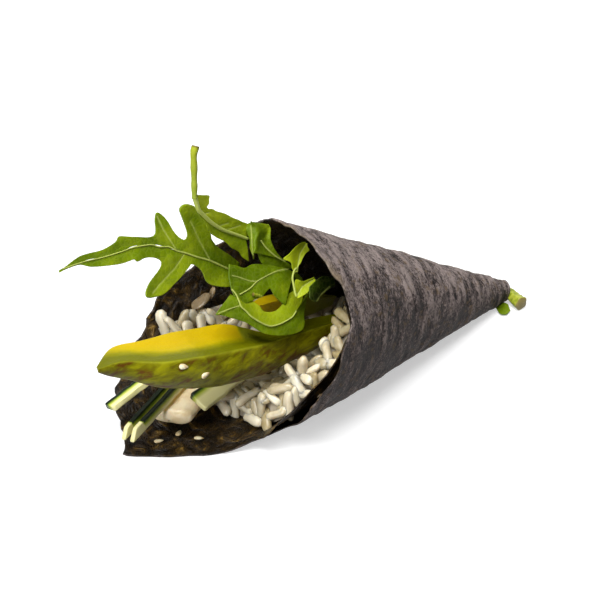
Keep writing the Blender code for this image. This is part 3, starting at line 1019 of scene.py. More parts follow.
@dataclass
class RiceHeap:
    """The rice lining: a core, and grains over its trough, its front and its edges."""

    roll: Roll
    gap: float = 0.4
    start: float = 50.0
    end: float = 262.0
    back: float = 38.0
    front: Stations = (
        (50, 91), (60, 92.5), (90, 96), (120, 101.5), (150, 108.5), (180, 111), (220, 116), (262, 122))
    depth: Stations = (
        (50, 3.5), (70, 8), (110, 9.5), (150, 9), (185, 6.5), (215, 4.5), (245, 6), (262, 3))
    core_inset: float = 1.5
    spacing: float = 2.85
    candidates: int = 12000
    far_end: tuple[float, float, float] = (248.0, 0.55, 124.0)

    def wall(self, angle: Array, reach: Array) -> Array:
        """Offset of the rice's outer side, just inside the nori."""
        return self.roll.offset(angle, reach) - self.roll.thickness / 2 - self.gap

    def thickness(self, angle: Array, reach: Array) -> Array:
        """The lining's thickness, thinner towards the tip."""
        return through(self.depth, angle) * (reach / 110) ** 0.8

    def far_edge(self, reach: Array) -> Array:
        """Angle where the rice ends up the far wall, lower towards the mouth."""
        angle, slope, middle = self.far_end
        return np.minimum(self.end, angle + slope * (middle - reach))

    def core(self) -> Draft:
        """The bumpy core that shows only between grains."""
        rows, columns = 40, 90
        share = np.linspace(0, 1, rows)[:, None]
        flat = np.linspace(self.start, self.end, columns)
        reach = self.back + (through(self.front, flat) - 2.2 - self.back) * share
        end = self.far_edge(reach) - 4
        angle = self.start + 3 + (end - self.start - 3) * (flat - self.start) / (self.end - self.start)
        wall = self.wall(angle, reach) - 0.3
        taper = ease(end - angle, 0, 14) * ease(angle - self.start, 0, 14)
        thick = np.maximum((self.thickness(angle, reach) - self.core_inset) * taper, 0.5)
        outer = self.roll.place(reach, angle, wall)
        bumps = 0.45 * NOISE.at(outer, 2.4, 2)
        inner = self.roll.place(reach, angle, wall - thick + bumps * ease(thick, 0.6, 3))
        draft = Draft()
        draft.add(np.stack([outer, inner]), slab_faces(rows, columns), tint=0.2)
        return draft

    def spots(self, rng: np.random.Generator) -> tuple[Array, Array, Array, Array]:
        """Random places for grains: angle, reach, share of the depth, and whether on the front."""
        n = self.candidates
        angle = rng.uniform(self.start, self.end, n)
        front = through(self.front, angle)
        low = (self.back / front) ** 2
        reach = front * np.sqrt(rng.uniform(low, 1))
        share = rng.uniform(0, 0.12, n)
        on_front = rng.uniform(size=n) < 0.3
        reach = np.where(on_front, front - rng.uniform(0.4, 2.0, n), reach)
        share = np.where(on_front, rng.uniform(0.05, 0.92, n), share)
        found = (angle < self.far_edge(reach) - 2.5) & (angle > self.start + 9)
        return angle[found], reach[found], share[found], on_front[found]

    def keep(self, places: Array, deep: Array, blocked: Sequence[BVHTree]) -> Array:
        """Numbers of the places that are far enough from each other and from the filling.

        Args:
            places: Candidate places, tried in order.
            deep: Whether each is deep in the roll, where grains lie wider apart.
            blocked: The filling's solids.

        Returns:
            The numbers kept.
        """
        kept: list[int] = []
        for number, place in enumerate(places):
            apart = self.spacing * (1.3 if deep[number] else 1.0)
            if kept and np.min(np.sum((places[kept] - place) ** 2, 1)) < apart**2:
                continue
            if any(self._inside(tree, place) for tree in blocked):
                continue
            kept.append(number)
        return np.array(kept)

    @staticmethod
    def _inside(tree: BVHTree, place: Array) -> bool:
        """Whether a place lies in a solid or near it: a ray up from inside crosses an odd number of faces."""
        start = Vector(place * MM)
        if tree.find_nearest(start)[3] < 0.9 * MM:
            return True
        crossed = 0
        spot = tree.ray_cast(start, Vector((0, 0, 1)))[0]
        while spot is not None:
            crossed += 1
            spot = tree.ray_cast(spot + Vector((0, 0, 1e-6)), Vector((0, 0, 1)))[0]
        return crossed % 2 == 1

    def grains(self, blocked: Sequence[BVHTree]) -> Draft:
        """The grains: on the trough they lie along it, on the front they point every way.

        Args:
            blocked: The filling's solids, which grains keep off.

        Returns:
            The mesh of all grains.
        """
        rng = np.random.default_rng(23)
        angle, reach, share, on_front = self.spots(rng)
        wall = self.wall(angle, reach)
        thick = self.thickness(angle, reach)
        offset = np.minimum(wall - thick * (1 - share), wall - 1.5 - 1.3 * (1 - ease(angle, 110, 140)))
        places = self.roll.place(reach, angle, offset)
        kept = self.keep(places, reach < 72, blocked)
        angle, reach, offset, places, on_front = (
            v[kept] for v in (angle, reach, offset, places, on_front))
        around = unit(self.roll.place(reach, angle + 1, offset) - places)
        outwards = unit(self.roll.place(reach, angle, offset + 1) - places)
        forward = unit(self.roll.place(reach + 1, angle, offset) - places)
        normal = np.where(on_front[:, None], 0.8 * forward - 0.4 * outwards, -outwards)
        second = np.where(on_front[:, None], outwards, forward)
        turn = rng.uniform(0, math.pi, len(kept))[:, None]
        tilt = rng.normal(0, 0.3, len(kept))[:, None]
        x = unit(np.cos(turn) * around + np.sin(turn) * second + tilt * normal)
        poke = np.sum(x * outwards, 1)
        room = np.clip((self.wall(angle, reach) - offset - 1.0) / 3.4, 0, 1)
        x = unit(x - outwards * (poke - np.clip(poke, -room, room))[:, None])
        y = unit(np.cross(normal, x))
        z = np.cross(x, y)
        size = rng.uniform((0.8, 0.78, 0.78), (1.25, 1.16, 1.16), (len(kept), 3))
        axes = np.stack([x, y, z], 1) * size[..., None]
        points, faces = scatter(GrainShape().build(), axes, places)
        points = points + 0.45 * np.stack([NOISE.at(points + 40 * k, 2.2) for k in range(3)], -1)
        # A random tint for each grain, with painted shade: grains high on the near wall, below 112 degrees, lean to
        # the darker clear colour.
        shade = rng.uniform(0.0, 1, len(kept)) * (0.2 + 0.8 * ease(angle, 76, 112))
        tint = np.broadcast_to(shade[:, None], points.shape[:2])
        draft = Draft()
        draft.add(points, faces, tint=tint)
        LOG.info("%d grains of rice", len(kept))
        return draft


# ---------------------------------------------------------------- the filling


@dataclass
class AvocadoSlice:
    """A slice of avocado: a cut face above, the rounded peeled outside, and a cut face below.

    The ridge is the line where the upper cut face meets the outside. Heights and widths are (share of
    the ridge, size) of the outside and of the cut face.
    """

    ridge: Points
    heights: Stations
    widths: Stations
    tilt: float
    side: int
    hollow: float = 0.0
    belly: float = 0.28
    green_from: float = 99.0
    knob: tuple[float, float, float] = (0.0, 0.0, 99.0)
    ripe: float = 0.0
    sections: int = 190
    rounding: int = 5

    def sections_grid(self) -> tuple[Array, Array, Array]:
        """Rings of the slice, each outside, underside and cut face in turn.

        The outside is belly * height * sin(0.8 pi drop) - 0.15 height * drop to the near side and
        height * drop down. The underside runs back through its middle, and the cut face returns to the
        ridge, sunk by a smooth hollow.

        Returns:
            Points, the depth of flesh behind the skin at each, and the share that is peeled.
        """
        share = np.linspace(0, 1, self.sections)
        height = through(self.heights, share)[:, None]
        width = through(self.widths, share)[:, None]
        drop = np.linspace(0, 1, 34)
        under = np.linspace(0, 1, 26)[1:]
        cut = np.linspace(1, 0, 46)[1:-1]
        back, rise = -width * math.cos(self.tilt), width * math.sin(self.tilt)
        outside = (self.belly * height * np.sin(0.8 * math.pi * drop) - 0.15 * height * drop, -height * drop)
        foot, middle = (-0.15 * height, -height), (0.45 * back, 0.45 * (rise - height))
        underside = tuple(
            f * (1 - under) ** 2 + m * 2 * under * (1 - under) + b * under**2
            for f, m, b in zip(foot, middle, (back, rise)))
        sunk = self.hollow * np.sin(math.pi * cut) ** 1.2 * bell(share[:, None], 0.62, 0.42, 4)
        face = (back * cut + 0 * sunk, rise * cut - sunk)
        near, up = (np.concatenate(part, 1) for part in zip(outside, underside, face))
        for _ in range(self.rounding):
            near, up = ((np.roll(v, 1, 1) + 2 * v + np.roll(v, -1, 1)) / 4 for v in (near, up))
        spine = smooth_path(self.ridge, self.sections)
        points = np.stack([
            np.broadcast_to(spine[:, :1], near.shape), spine[:, 1:2] - self.side * near,
            spine[:, 2:] + up], -1)
        flesh = np.concatenate([0 * drop + 0 * height, under * width, cut * width], 1)
        peel = np.concatenate([1 + 0 * drop, 0 * under, 0 * cut])
        return points, flesh, np.broadcast_to(peel, flesh.shape)

    def build(self) -> Draft:
        """The slice with its lumps and knife marks, and a painted highlight along the ridge."""
        points, flesh, peel = self.sections_grid()
        outwards = unit(points - points.mean(1, keepdims=True))
        facets = NOISE.at(points * (0.55, 1, 1), 4.6, 2) * 0.28 * peel
        marks = NOISE.at(points * (0.4, 1, 1) + 17, 2.2) * 0.1
        knob = np.exp(-((np.linalg.norm(points - self.knob, axis=-1) / 2.0) ** 2))
        points = points + outwards * (facets + marks + 1.3 * knob)[..., None]
        # lip: a painted highlight along the ridge, at the first and last points of each ring, and on the knob.
        number = np.arange(points.shape[1])
        lip = np.exp(-((np.minimum(number, points.shape[1] - number) / 1.3) ** 2))
        body, faces = tube(points)
        green = ease(points[..., 0], self.green_from, self.green_from + 4)
        flesh = (flesh + self.ripe) * (1 - green)
        spread = {
            "flesh": flesh, "peel": peel * float(self.ripe == 0),
            "lip": np.maximum(lip, 2 * knob),
        }
        draft = Draft()
        draft.add(body, faces, **{
            key: np.concatenate([value.ravel(), value[0].mean(keepdims=True), value[-1].mean(keepdims=True)])
            for key, value in spread.items()})
        return draft


@dataclass
class CucumberStick:
    """A stick of cucumber: a rectangle with soft edges, its skin along one narrow side or face."""

    name: str
    start: tuple[float, float, float]
    end: tuple[float, float, float]
    across: tuple[float, float, float]
    thick: float
    skin_side: int = 1
    rind: float = 0.0
    bare_end: float = 0.0
    slant: float = 0.0

    def build(self) -> Draft:
        """A rounded rectangle carried from end to end.

        Its corners are superellipse corners: cos and sin of the turn, each raised to the power 0.22
        with its sign kept.
        """
        start, end, across = (np.array(v, float) for v in (self.start, self.end, self.across))
        along = unit(end - start)
        wide = unit(across - along * np.dot(across, along))
        over = np.cross(along, wide)
        length, width = np.linalg.norm(end - start), np.linalg.norm(across)
        at = np.concatenate([[0, 0.12, 0.3, 0.6], np.linspace(1, length - 1, 60), length - np.array([0.6, 0.3, 0.12, 0])])
        shrink = 1 - 0.12 * np.exp(-at / 0.18) - 0.12 * np.exp(-(length - at) / 0.18)
        turn = np.linspace(0, 2 * math.pi, 56, endpoint=False)
        square = [np.sign(v) * np.abs(v) ** 0.24 for v in (np.cos(turn), np.sin(turn))]
        y = 0.5 * width * square[0] * shrink[:, None]
        z = 0.5 * self.thick * square[1] * shrink[:, None]
        forward = at[:, None] - self.slant * y * (1 - at[:, None] / length)
        rings = start + forward[..., None] * along + y[..., None] * wide + z[..., None] * over
        rings = rings + 0.09 * (NOISE.at(rings, 2.6)[..., None]) * (y[..., None] * wide + z[..., None] * over)
        rings = rings + 0.1 * NOISE.at(rings + 5, 7)[..., None] * over
        body, faces = tube(rings)
        offset = body - start
        depth = width / 2 - self.skin_side * (offset @ wide) - self.rind
        bare = 3.0 * (1 - ease(offset @ along, self.bare_end, self.bare_end + 0.6)) if self.bare_end else 0.0
        draft = Draft()
        draft.add(body, faces, from_skin=np.maximum(depth, 0) + bare)
        return draft


@dataclass
class CreamStrip:
    """The soft pale strip under the avocado: a rounded, lumpy block."""

    path: Points = ((-58.5, 5.6, 6), (-53, 7.8, 7), (-47, 10, 8.4), (-42.5, 11.4, 9.7))
    half_width: float = 4.4
    half_height: float = 2.2
    taper: float = 0.72
    skew: float = 0.8

    def build(self) -> Draft:
        """A superellipse carried along the path, slanted at its front and rounded at both ends."""
        count = 70
        share = np.linspace(0, 1, count)
        path = smooth_path(self.path, count)
        turn = np.linspace(0, 2 * math.pi, 60, endpoint=False)
        across, over = (np.sign(v) * np.abs(v) ** 0.7 for v in (np.cos(turn), np.sin(turn)))
        end = np.sqrt(np.clip(1 - (1 - np.minimum(share, 1 - share) / 0.1).clip(0) ** 2, 0.02, 1))[:, None]
        wide = self.half_width * (0.6 + 0.4 * end) * across * end
        tall = (self.half_height - self.taper * share[:, None]) * end * over
        rings = np.stack([path[:, :1] - self.skew * wide, path[:, 1:2] + wide, path[:, 2:] + tall], -1)
        outwards = unit(rings - path[:, None])
        rings = rings + outwards * (0.35 * NOISE.at(rings, 4.5, 2))[..., None]
        body, faces = tube(rings)
        draft = Draft()
        draft.add(body, faces)
        return draft


# ---------------------------------------------------------------- the leaves


@dataclass(frozen=True)
class LeafPlane:
    """The plane that the leaves are drawn on, across the view into the open mouth.

    A leaf's surface stands off the plane by level + across * X + up * Y + bow * X^2.
    """

    level: float
    across: float = 0.0
    up: float = 0.0
    bow: float = 0.0

    origin = np.array((-16.96, 0.0, 30.335))
    axes = np.array(((0.766, -0.643, 0.0), (0.331, 0.395, 0.857), (-0.551, -0.657, 0.515)))

    def lift(self, flat: Array) -> Array:
        """World points of drawn points (X, Y) or (X, Y, extra height off the plane)."""
        x, y = flat[..., 0], flat[..., 1]
        out = self.level + self.across * x + self.up * y + self.bow * x * x
        if flat.shape[-1] == 3:
            out = out + flat[..., 2]
        return self.origin + np.stack([x, y, out], -1) @ self.axes


def near_line(flat: Array, line: Points) -> Array:
    """Distance from drawn points to a drawn line of straight stretches."""
    nearest = np.full(flat.shape[:-1], np.inf)
    for start, end in zip(np.array(line, float)[:-1], np.array(line, float)[1:]):
        stretch = end - start
        share = np.clip((flat[..., :2] - start) @ stretch / (stretch @ stretch), 0, 1)
        nearest = np.minimum(nearest, np.linalg.norm(flat[..., :2] - start - share[..., None] * stretch, axis=-1))
    return nearest


@dataclass
class LeafPatch:
    """A part of a leaf blade, drawn as stations of two or more points across it."""

    stations: Points
    across: int = 2
    rise: tuple[float, ...] = ()
    tone: float = 0.5

    def flat(self, rows: int, columns: int) -> Array:
        """The drawn points on a fine grid, each with its extra height."""
        grid = np.array(self.stations, float).reshape(len(self.stations), self.across, 2)
        rise = np.array(self.rise or (0.0,) * self.across)
        grid = np.concatenate([grid, np.broadcast_to(rise[None, :, None], (*grid.shape[:2], 1))], -1)
        return smooth_grid(grid, rows, columns)


@dataclass
class LeafRib:
    """A midrib, stalk or large vein that stands out as a tube: its line and radii at both ends."""

    line: Points
    start: float
    end: float
    stalk: bool = False
    rise: float = 0.12


@dataclass
class RocketLeaf:
    """A rocket leaf: its blade in patches, its ribs as tubes, and its finer veins as grooves."""

    name: str
    plane: LeafPlane
    patches: tuple[LeafPatch, ...]
    ribs: tuple[LeafRib, ...] = ()
    veins: tuple[Points, ...] = ()
    thickness: float = 0.34
    quilt: float = 0.3
    wave: float = 0.3
    vein_width: float = 0.17

    def build(self) -> Draft:
        """The blade's patches and its ribs."""
        draft = Draft()
        for patch in self.patches:
            self._add_patch(draft, patch)
        for rib in self.ribs:
            self._add_rib(draft, rib)
        return draft

    def _add_patch(self, draft: Draft, patch: LeafPatch) -> None:
        """Adds one patch: two faces a leaf's thickness apart, quilted between the veins.

        The blade swells by quilt * (1 - exp(-(d / 1.7)^2)) away from each vein and sinks in a groove
        exp(-(d / vein width)^2) along it, where d is the distance to the vein.
        """
        rows, columns = 34 * 4 if len(patch.stations) > 8 else 80, 26 if patch.across == 2 else 60
        flat = patch.flat(rows, columns)
        spot = self.plane.lift(flat)
        normal = np.cross(np.gradient(spot, axis=0), np.gradient(spot, axis=1))
        facing = self.plane.axes[2]
        if (normal @ facing).mean() < 0:
            normal = -normal
        size = np.linalg.norm(normal, axis=-1).mean()
        normal = unit(normal / size + 0.25 * unit((normal / size).mean((0, 1))))
        lines = (*self.veins, *(rib.line for rib in self.ribs if not rib.stalk))
        distance = np.full(flat.shape[:2], 9.0)
        for line in lines:
            distance = np.minimum(distance, near_line(flat, line))
        relief = self.quilt * (1 - np.exp(-((distance / 1.7) ** 2))) - self.quilt * 0.6
        relief = relief - 0.1 * np.exp(-((distance / self.vein_width) ** 2))
        edge = ease(distance, 0.5, 4)
        relief = relief + self.wave * edge * NOISE.at(spot, 4.2) + 0.08 * NOISE.at(spot, 1.6)
        middle = spot + normal * relief[..., None]
        half = normal * self.thickness / 2
        points = np.stack([middle + half, middle - half])
        vein = np.exp(-((distance / self.vein_width) ** 2)) * 0.7
        tone = patch.tone + 0.25 * NOISE.at(spot + 3, 6.0) + 0.12 * edge
        draft.add(
            points, slab_faces(rows, columns), vein=np.stack([vein, 0.6 * vein]),
            tone=np.stack([tone, tone]), under=np.stack([0 * tone, 0 * tone + 1]))

    def _add_rib(self, draft: Draft, rib: LeafRib) -> None:
        """Adds one tube along a drawn line, tapered from its start radius to its end radius."""
        count = 12 * len(rib.line)
        line = smooth_path(rib.line, count)
        path = self.plane.lift(line) + self.plane.axes[2] * (rib.rise + 0.06)
        share = np.linspace(0, 1, count)[:, None]
        turn = np.linspace(0, 2 * math.pi, 14, endpoint=False)
        radius = (rib.start + (rib.end - rib.start) * share + 0 * turn) * (1.0 if rib.stalk else 0.62)
        if rib.stalk:
            radius = radius * (1 + 0.05 * np.cos(3 * turn) + 0.08 * np.sin(share * 19))
        rings = carried(path, self.plane.axes[2], radius * np.cos(turn), radius * np.sin(turn))
        body, faces = tube(rings)
        ends = np.concatenate([np.repeat(share[:, 0], 14), [0, 1]])
        cut = (1 - ease(ends, 0.01, 0.07)) * float(rib.stalk)
        draft.add(
            body, faces, vein=0.25 if rib.stalk else 0.9, tone=0.6, stalk=float(rib.stalk) * (1 - 0.9 * ends), cut=cut)


LONG_LEAF = RocketLeaf(
    "leaf_long", LeafPlane(-15.65, across=-1.345, bow=-0.0071),
    patches=(
        LeafPatch((
            (-16.5, 7.5, -16.5, 10), (-19, 8.5, -19, 12), (-21, 9, -22.5, 14.5), (-22.5, 9.5, -24.5, 17.5),
            (-23, 10, -25, 22), (-24, 10.5, -27.5, 24.5), (-24, 10.5, -30.5, 25.5), (-25, 10.5, -32, 24),
            (-26, 11, -31, 21), (-27.5, 11.5, -30, 17.5), (-29.5, 12, -31, 16), (-30.5, 12.5, -33, 17.5),
            (-32, 13, -35.5, 21.5), (-33, 13.5, -37.5, 23), (-34, 13.5, -38, 21), (-35.5, 14, -38, 17.5),
            (-37.5, 14.5, -39.5, 16.5), (-41, 14.5, -42.5, 16.5), (-43.5, 14, -44.5, 16.5),
            (-45.5, 13, -47, 16.5), (-47, 12.5, -48, 15), (-50.5, 11, -51, 13), (-54, 10.5, -54.5, 12),
            (-56.5, 9.5, -57, 11), (-60, 8, -60, 8.5), (-61.5, 7.5, -61.5, 7.6)), tone=0.5),
        LeafPatch((
            (-16.5, 7.5, -16.5, 4), (-19.5, 8.5, -20.5, 3.5), (-22.5, 9.5, -24.5, 4.5), (-24, 10.5, -26.5, 8),
            (-27, 11.5, -29, 9.5), (-28, 11.5, -30.5, 7.5), (-29.5, 12, -33.5, 4), (-30.5, 12.5, -36, 1.5),
            (-31, 12.5, -39.5, 0.5), (-31.5, 13, -40.5, 1.5), (-32.5, 13, -39.5, 4.5), (-34, 13.5, -37, 8),
            (-35.5, 14, -36.5, 10), (-37, 14, -38, 11), (-39.5, 14.5, -40.5, 11), (-41.5, 14.5, -42.5, 10),
            (-43, 14, -43.5, 10.5), (-45.5, 13, -46, 9.5), (-48.5, 12, -48.5, 9), (-53, 10.5, -53.5, 8.5),
            (-56.5, 9.5, -56.5, 9), (-59.5, 8.5, -59.5, 8), (-61.5, 7.5, -61.5, 7)), tone=0.56)),
    ribs=(LeafRib((
        (-16.5, 7.5), (-19.5, 8.5), (-24, 10.5), (-27.5, 11.5), (-30.5, 12.5), (-32.5, 13), (-34.5, 14),
        (-37, 14), (-39, 14.5), (-42, 14), (-44, 13.5), (-46.5, 12.5), (-51, 11), (-55, 10), (-58, 9),
        (-60.5, 8)), 0.42, 0.16),),
    veins=(
        ((-24, 10.5), (-27, 16), (-29, 21)), ((-32.5, 13), (-36, 18.5), (-37.5, 22)),
        ((-30.5, 12.5), (-33, 8.5), (-36.5, 4.5), (-38.5, 2))))

UPRIGHT_LEAF = RocketLeaf(
    "leaf_upright", LeafPlane(-10.9, across=-1.088, up=0.333),
    patches=(
        LeafPatch((
            (-27.5, 27, -27, 27.5), (-27.5, 26.5, -25.5, 27.5), (-27, 26.5, -24, 27.5), (-27, 26, -24, 26.5),
            (-27, 25, -24, 25.5), (-26.5, 24.5, -24.5, 24.5), (-26, 23.5, -24, 24), (-25.5, 22.5, -23, 24),
            (-24.5, 21.5, -22, 23.5), (-23, 20.5, -20, 23), (-21.5, 19.5, -18, 22), (-20, 18.5, -16.5, 21.5),
            (-18.5, 18, -15.5, 21), (-17, 17.5, -14, 20.5), (-14.5, 16.5, -12.5, 19.5)), tone=1.0),
        LeafPatch((
            (-27.5, 27, -27.6, 27), (-27, 25, -27.2, 24.5), (-26, 23, -26.5, 22.5), (-25, 22, -25, 20.5),
            (-24, 21, -24.5, 19), (-23, 20, -23.5, 17.5), (-22, 19.5, -22, 16.5), (-21, 19, -20, 15.5),
            (-19.5, 18, -18.5, 14), (-18, 17.5, -16.5, 13), (-16.5, 17, -15.5, 11.5),
            (-14.5, 16.5, -14, 10.5)), tone=0.7)),
    ribs=(
        LeafRib((
            (-27, 40), (-27.5, 38), (-27.5, 35.5), (-27.5, 33), (-27.5, 30.5), (-27.5, 28.5),
            (-27.5, 26.5)), 1.0, 0.75, stalk=True),
        LeafRib((
            (-27.5, 26.8), (-27, 25), (-26.5, 23.5), (-25.5, 22.5), (-24, 21), (-22, 19.5), (-20, 18.5),
            (-17, 17.5), (-14, 16.5)), 1.1, 0.6, rise=0.16)),
    veins=(((-25.5, 22.5), (-24, 23)), ((-22, 19.5), (-19, 20.5)), ((-20, 18.5), (-16, 20))))

CURLED_LEAF = RocketLeaf(
    "leaf_curled", LeafPlane(-1, across=-1.0),
    patches=(
        LeafPatch((
            (-13, 21, -13, 21, -9.5, 20.5, -8.5, 20.5), (-14, 20.5, -12, 20, -9, 20, -8, 19.5),
            (-14.5, 19, -11.5, 19, -9, 18.5, -8, 18), (-14, 17.5, -11.5, 17.5, -9.5, 17, -8, 16.5),
            (-13.5, 16, -12, 16, -9.5, 16, -7.5, 15), (-13.5, 14, -12, 15, -10, 15, -7, 14),
            (-13, 12.5, -12, 14, -10, 13.5, -6, 12.5), (-12.5, 11, -12.5, 12.5, -9, 12, -4.5, 11)),
            across=4, rise=(-2, 1.6, 0.2, 1.2), tone=0.5),
        LeafPatch((
            (-12, 15, -11, 11), (-10, 15, -10, 9.5), (-7.5, 13.5, -8, 9), (-6, 12.5, -6, 9),
            (-4.5, 11, -4, 8.5), (-2.5, 9.5, -2.5, 8.5)), rise=(0.2, -1.0), tone=0.3)),
    ribs=(LeafRib(((-10.5, 16), (-9.5, 14.5), (-8, 13), (-6, 11.5), (-4, 10.5)), 0.3, 0.22, rise=1.0),),
    veins=(((-13.2, 20), (-13, 17), (-12.8, 12)),))

FRONT_LEAF = RocketLeaf(
    "leaf_front", LeafPlane(2.6, across=-0.9, up=-0.3),
    patches=(
        LeafPatch((
            (-19, 9.5, -18.7, 5, -16.8, -0.5), (-17, 9, -16, 4.6, -14.8, -1), (-15, 8.5, -13.5, 4.4, -12.4, 0),
            (-13, 9.5, -11.4, 5, -10.2, 1), (-10, 9.5, -9.2, 6, -8.4, 3), (-6, 9, -6.8, 5, -7.2, 1.4),
            (-3.5, 8.5, -4.8, 4, -5.6, -0.2), (-1.5, 7.5, -3, 3, -4, -1.4)),
            across=3, rise=(-0.4, 0.6, 0), tone=0.3),
        LeafPatch((
            (-16.5, 0.5, -18.5, 1.5), (-16, -1.5, -22, -3.5), (-14.5, -2.5, -21, -4), (-13, -4.5, -19, -4.5),
            (-10.5, -6, -14.5, -6), (-8, -7, -9.5, -9), (-5.5, -6.5, -4, -9.5), (-3.5, -5.5, 0, -8.5),
            (-2, -4.5, 1, -6.5), (-1, -3, 1, -3.5), (0.5, -0.5, 2, 2)), rise=(0.5, -0.8), tone=0.44),
        LeafPatch((
            (-16.5, 0.5, -15.6, 1.2), (-16, -1.5, -13.8, 0.4), (-14.5, -2.5, -12.4, -0.6),
            (-13, -4.5, -11.2, -1.6), (-10.5, -6, -9.6, -3.2), (-8, -7, -6.8, -3), (-5.5, -6.5, -4.8, -1.2),
            (-3.5, -5.5, -3.6, 0.8), (-2, -4.5, -2.6, 2), (-1, -3, -1, 2.6), (0.5, -0.5, 0.8, 3)),
            rise=(0.5, -0.6), tone=0.8),
        # A patch of leaf under the others, given a low tone: painted shade.
        LeafPatch((
            (-5, 8.4, -5, -1), (-3, 8, -3, -1.6), (-1, 7.4, -1, -1.4), (0.6, 6, 0.8, -0.4)),
            rise=(-2.6, -2.2), tone=0.12)),
    ribs=(
        LeafRib((
            (-18, 2.8), (-17, 1.5), (-16.2, -0.3), (-15.6, -1.8), (-14.3, -3), (-13, -4.4), (-10.5, -6),
            (-8, -7), (-5.5, -6.5), (-3.5, -5.5), (-2, -4.5), (-1, -3)), 0.3, 0.3, rise=0.75),
        LeafRib(((-16, 1.5), (-13.5, 3), (-11.5, 5), (-9, 6.5), (-6, 8), (-3, 8.5)), 0.26, 0.14, rise=0.62),
        LeafRib(((-11.6, 5), (-13.5, 5.1), (-16, 6), (-18, 6.5)), 0.2, 0.1, rise=0.5),
        LeafRib(((-16, -1.5), (-19, -2.5), (-21.5, -3.5)), 0.22, 0.12, rise=0.2),
        LeafRib(((-12.6, 1.5), (-11.4, 1.3), (-10.4, 1)), 0.5, 0.36, stalk=True, rise=1.1)))

PALE_LEAF = RocketLeaf(
    "leaf_pale", LeafPlane(9.5, across=-0.5),
    patches=(
        LeafPatch((
            (-1, 7.5, -0.9, 7.5, -0.8, 7.5), (-2, 8.5, -0.9, 8.7, -0.5, 9), (-2.5, 10, -0.8, 9.8, 0.2, 10),
            (-4.5, 11, -0.5, 11, 0.6, 11), (-3, 12.5, -0.2, 12.3, 1.5, 12.5), (-1, 14.5, 0.6, 13.8, 2.5, 13.5),
            (0.5, 15.5, 1.3, 14.9, 2, 14.5), (1.5, 15.6, 1.7, 15.4, 2, 15.3)),
            across=3, rise=(0.5, 0, 0.4), tone=1.3),
        LeafPatch((
            (-1.5, 1.5, -1, 1, -0.5, 0.5), (-1.4, 3.5, -0.3, 2.3, 0.5, 1), (-1, 5.5, 0.5, 3.5, 2, 2),
            (1, 5, 1.6, 4.3, 3, 3.5), (2.5, 5.5, 2.9, 5.1, 4, 4.5), (3.9, 6, 4, 5.8, 4.1, 5.6)),
            across=3, rise=(0.3, -0.2, 0.5), tone=1.1)),
    ribs=(LeafRib(((-0.9, 8.6), (-1.5, 8), (-2, 6), (-1.7, 4), (-1.3, 2), (-1, 1)), 0.42, 0.5, rise=0.1),),
    veins=(((-1, 7.5), (-0.5, 9.5), (0, 12.5), (1.5, 15)), ((-1, 1), (0.5, 3.5), (3.5, 5.5))),
    vein_width=0.2)

# Its tone of -0.55 paints this leaf near the dark stop: painted shade deep in the mouth.
INNER_LEAF = RocketLeaf(
    "leaf_inner", LeafPlane(16, across=-1.05),
    patches=(LeafPatch((
        (2.5, 3.5, 2.5, 0.5), (4.5, 5.5, 4.5, -0.5), (6.5, 6.5, 6, 1.5), (9, 6, 9.5, 4)), tone=-0.55),),
    veins=(((4.5, -0.5), (6, 1.8), (8, 3.6)),))

LEAVES = (LONG_LEAF, UPRIGHT_LEAF, CURLED_LEAF, FRONT_LEAF, PALE_LEAF, INNER_LEAF)

TIP_LEAF = RocketLeaf(
    "leaf_bit", LeafPlane(-57.7, up=-1.664),
    patches=(LeafPatch((
        (58.4, -1.4, 58.6, -2.6), (59.6, -1, 59.4, -4.2), (61, -1, 61.2, -4.5), (62.2, -1.6, 62.6, -3.4)),
        rise=(0.4, -0.3), tone=0.35),))


# ---------------------------------------------------------------- the tip and the loose things


@dataclass
class TipStem:
    """The cut stem that stands out of the tip, thicker at its cut end."""

    path: Points = (
        (36, 0, 9.9), (50, 0, 6.2), (58, 0, 4.2), (62, -0.2, 3.4), (63, -2.8, 2.7), (62.6, -5.6, 2.3),
        (62.3, -8.4, 2.2))
    radius: float = 1.7
    flare: float = 0.4
    grooves: int = 5

    def build(self) -> Draft:
        """A round tube with shallow grooves along it and a narrowed cut end."""
        count, around = 110, 30
        share = np.linspace(0, 1, count)[:, None]
        turn = np.linspace(0, 2 * math.pi, around, endpoint=False)
        path = smooth_path(self.path, count)
        radius = self.radius + self.flare * ease(share, 0.66, 1)
        radius = radius * (1 + 0.07 * np.cos(self.grooves * turn) + 0.03 * np.sin(share * 60))
        radius = radius * (1 - 0.25 * ease(share, 0.985, 1))
        rings = carried(path, (0, 0, 1), radius * np.cos(turn), radius * np.sin(turn))
        body, faces = tube(rings)
        ends = np.concatenate([np.repeat(share[:, 0], around), [0, 1]])
        draft = Draft()
        draft.add(body, faces, cut=ease(ends, 0.975, 0.99))
        return draft


@dataclass
class SesameSeeds:
    """Hulled sesame seeds, each flat and pointed at one end."""

    length: float = 2.7
    width: float = 1.6
    height: float = 0.85

    def shape(self) -> tuple[Array, list[Array]]:
        """One seed: (1 - x^2)^0.5 * (1 - 0.45 x) wide, blunt at one end and pointed at the other."""
        step = (np.arange(9) + 0.5) / 9
        x = -np.cos(math.pi * step)
        radius = np.sqrt(1 - x * x) * (1 - 0.42 * x) / 1.1
        turn = np.linspace(0, 2 * math.pi, 12, endpoint=False)
        y = radius[:, None] * np.cos(turn) * self.width / 2
        z = radius[:, None] * np.sin(turn) * self.height / 2
        return tube(np.stack([np.broadcast_to(x[:, None] * self.length / 2, y.shape), y, z], -1))

    def build(self, places: Array, along: Array, up: Array) -> Draft:
        """Seeds lying on a surface.

        Args:
            places: Their middles.
            along: The way each points.
            up: The way each one's flat side looks.

        Returns:
            The mesh of all seeds.
        """
        x = unit(along)
        y = unit(np.cross(up, x))
        points, faces = scatter(self.shape(), np.stack([x, y, np.cross(x, y)], 1), places)
        draft = Draft()
        draft.add(points, faces)
        return draft


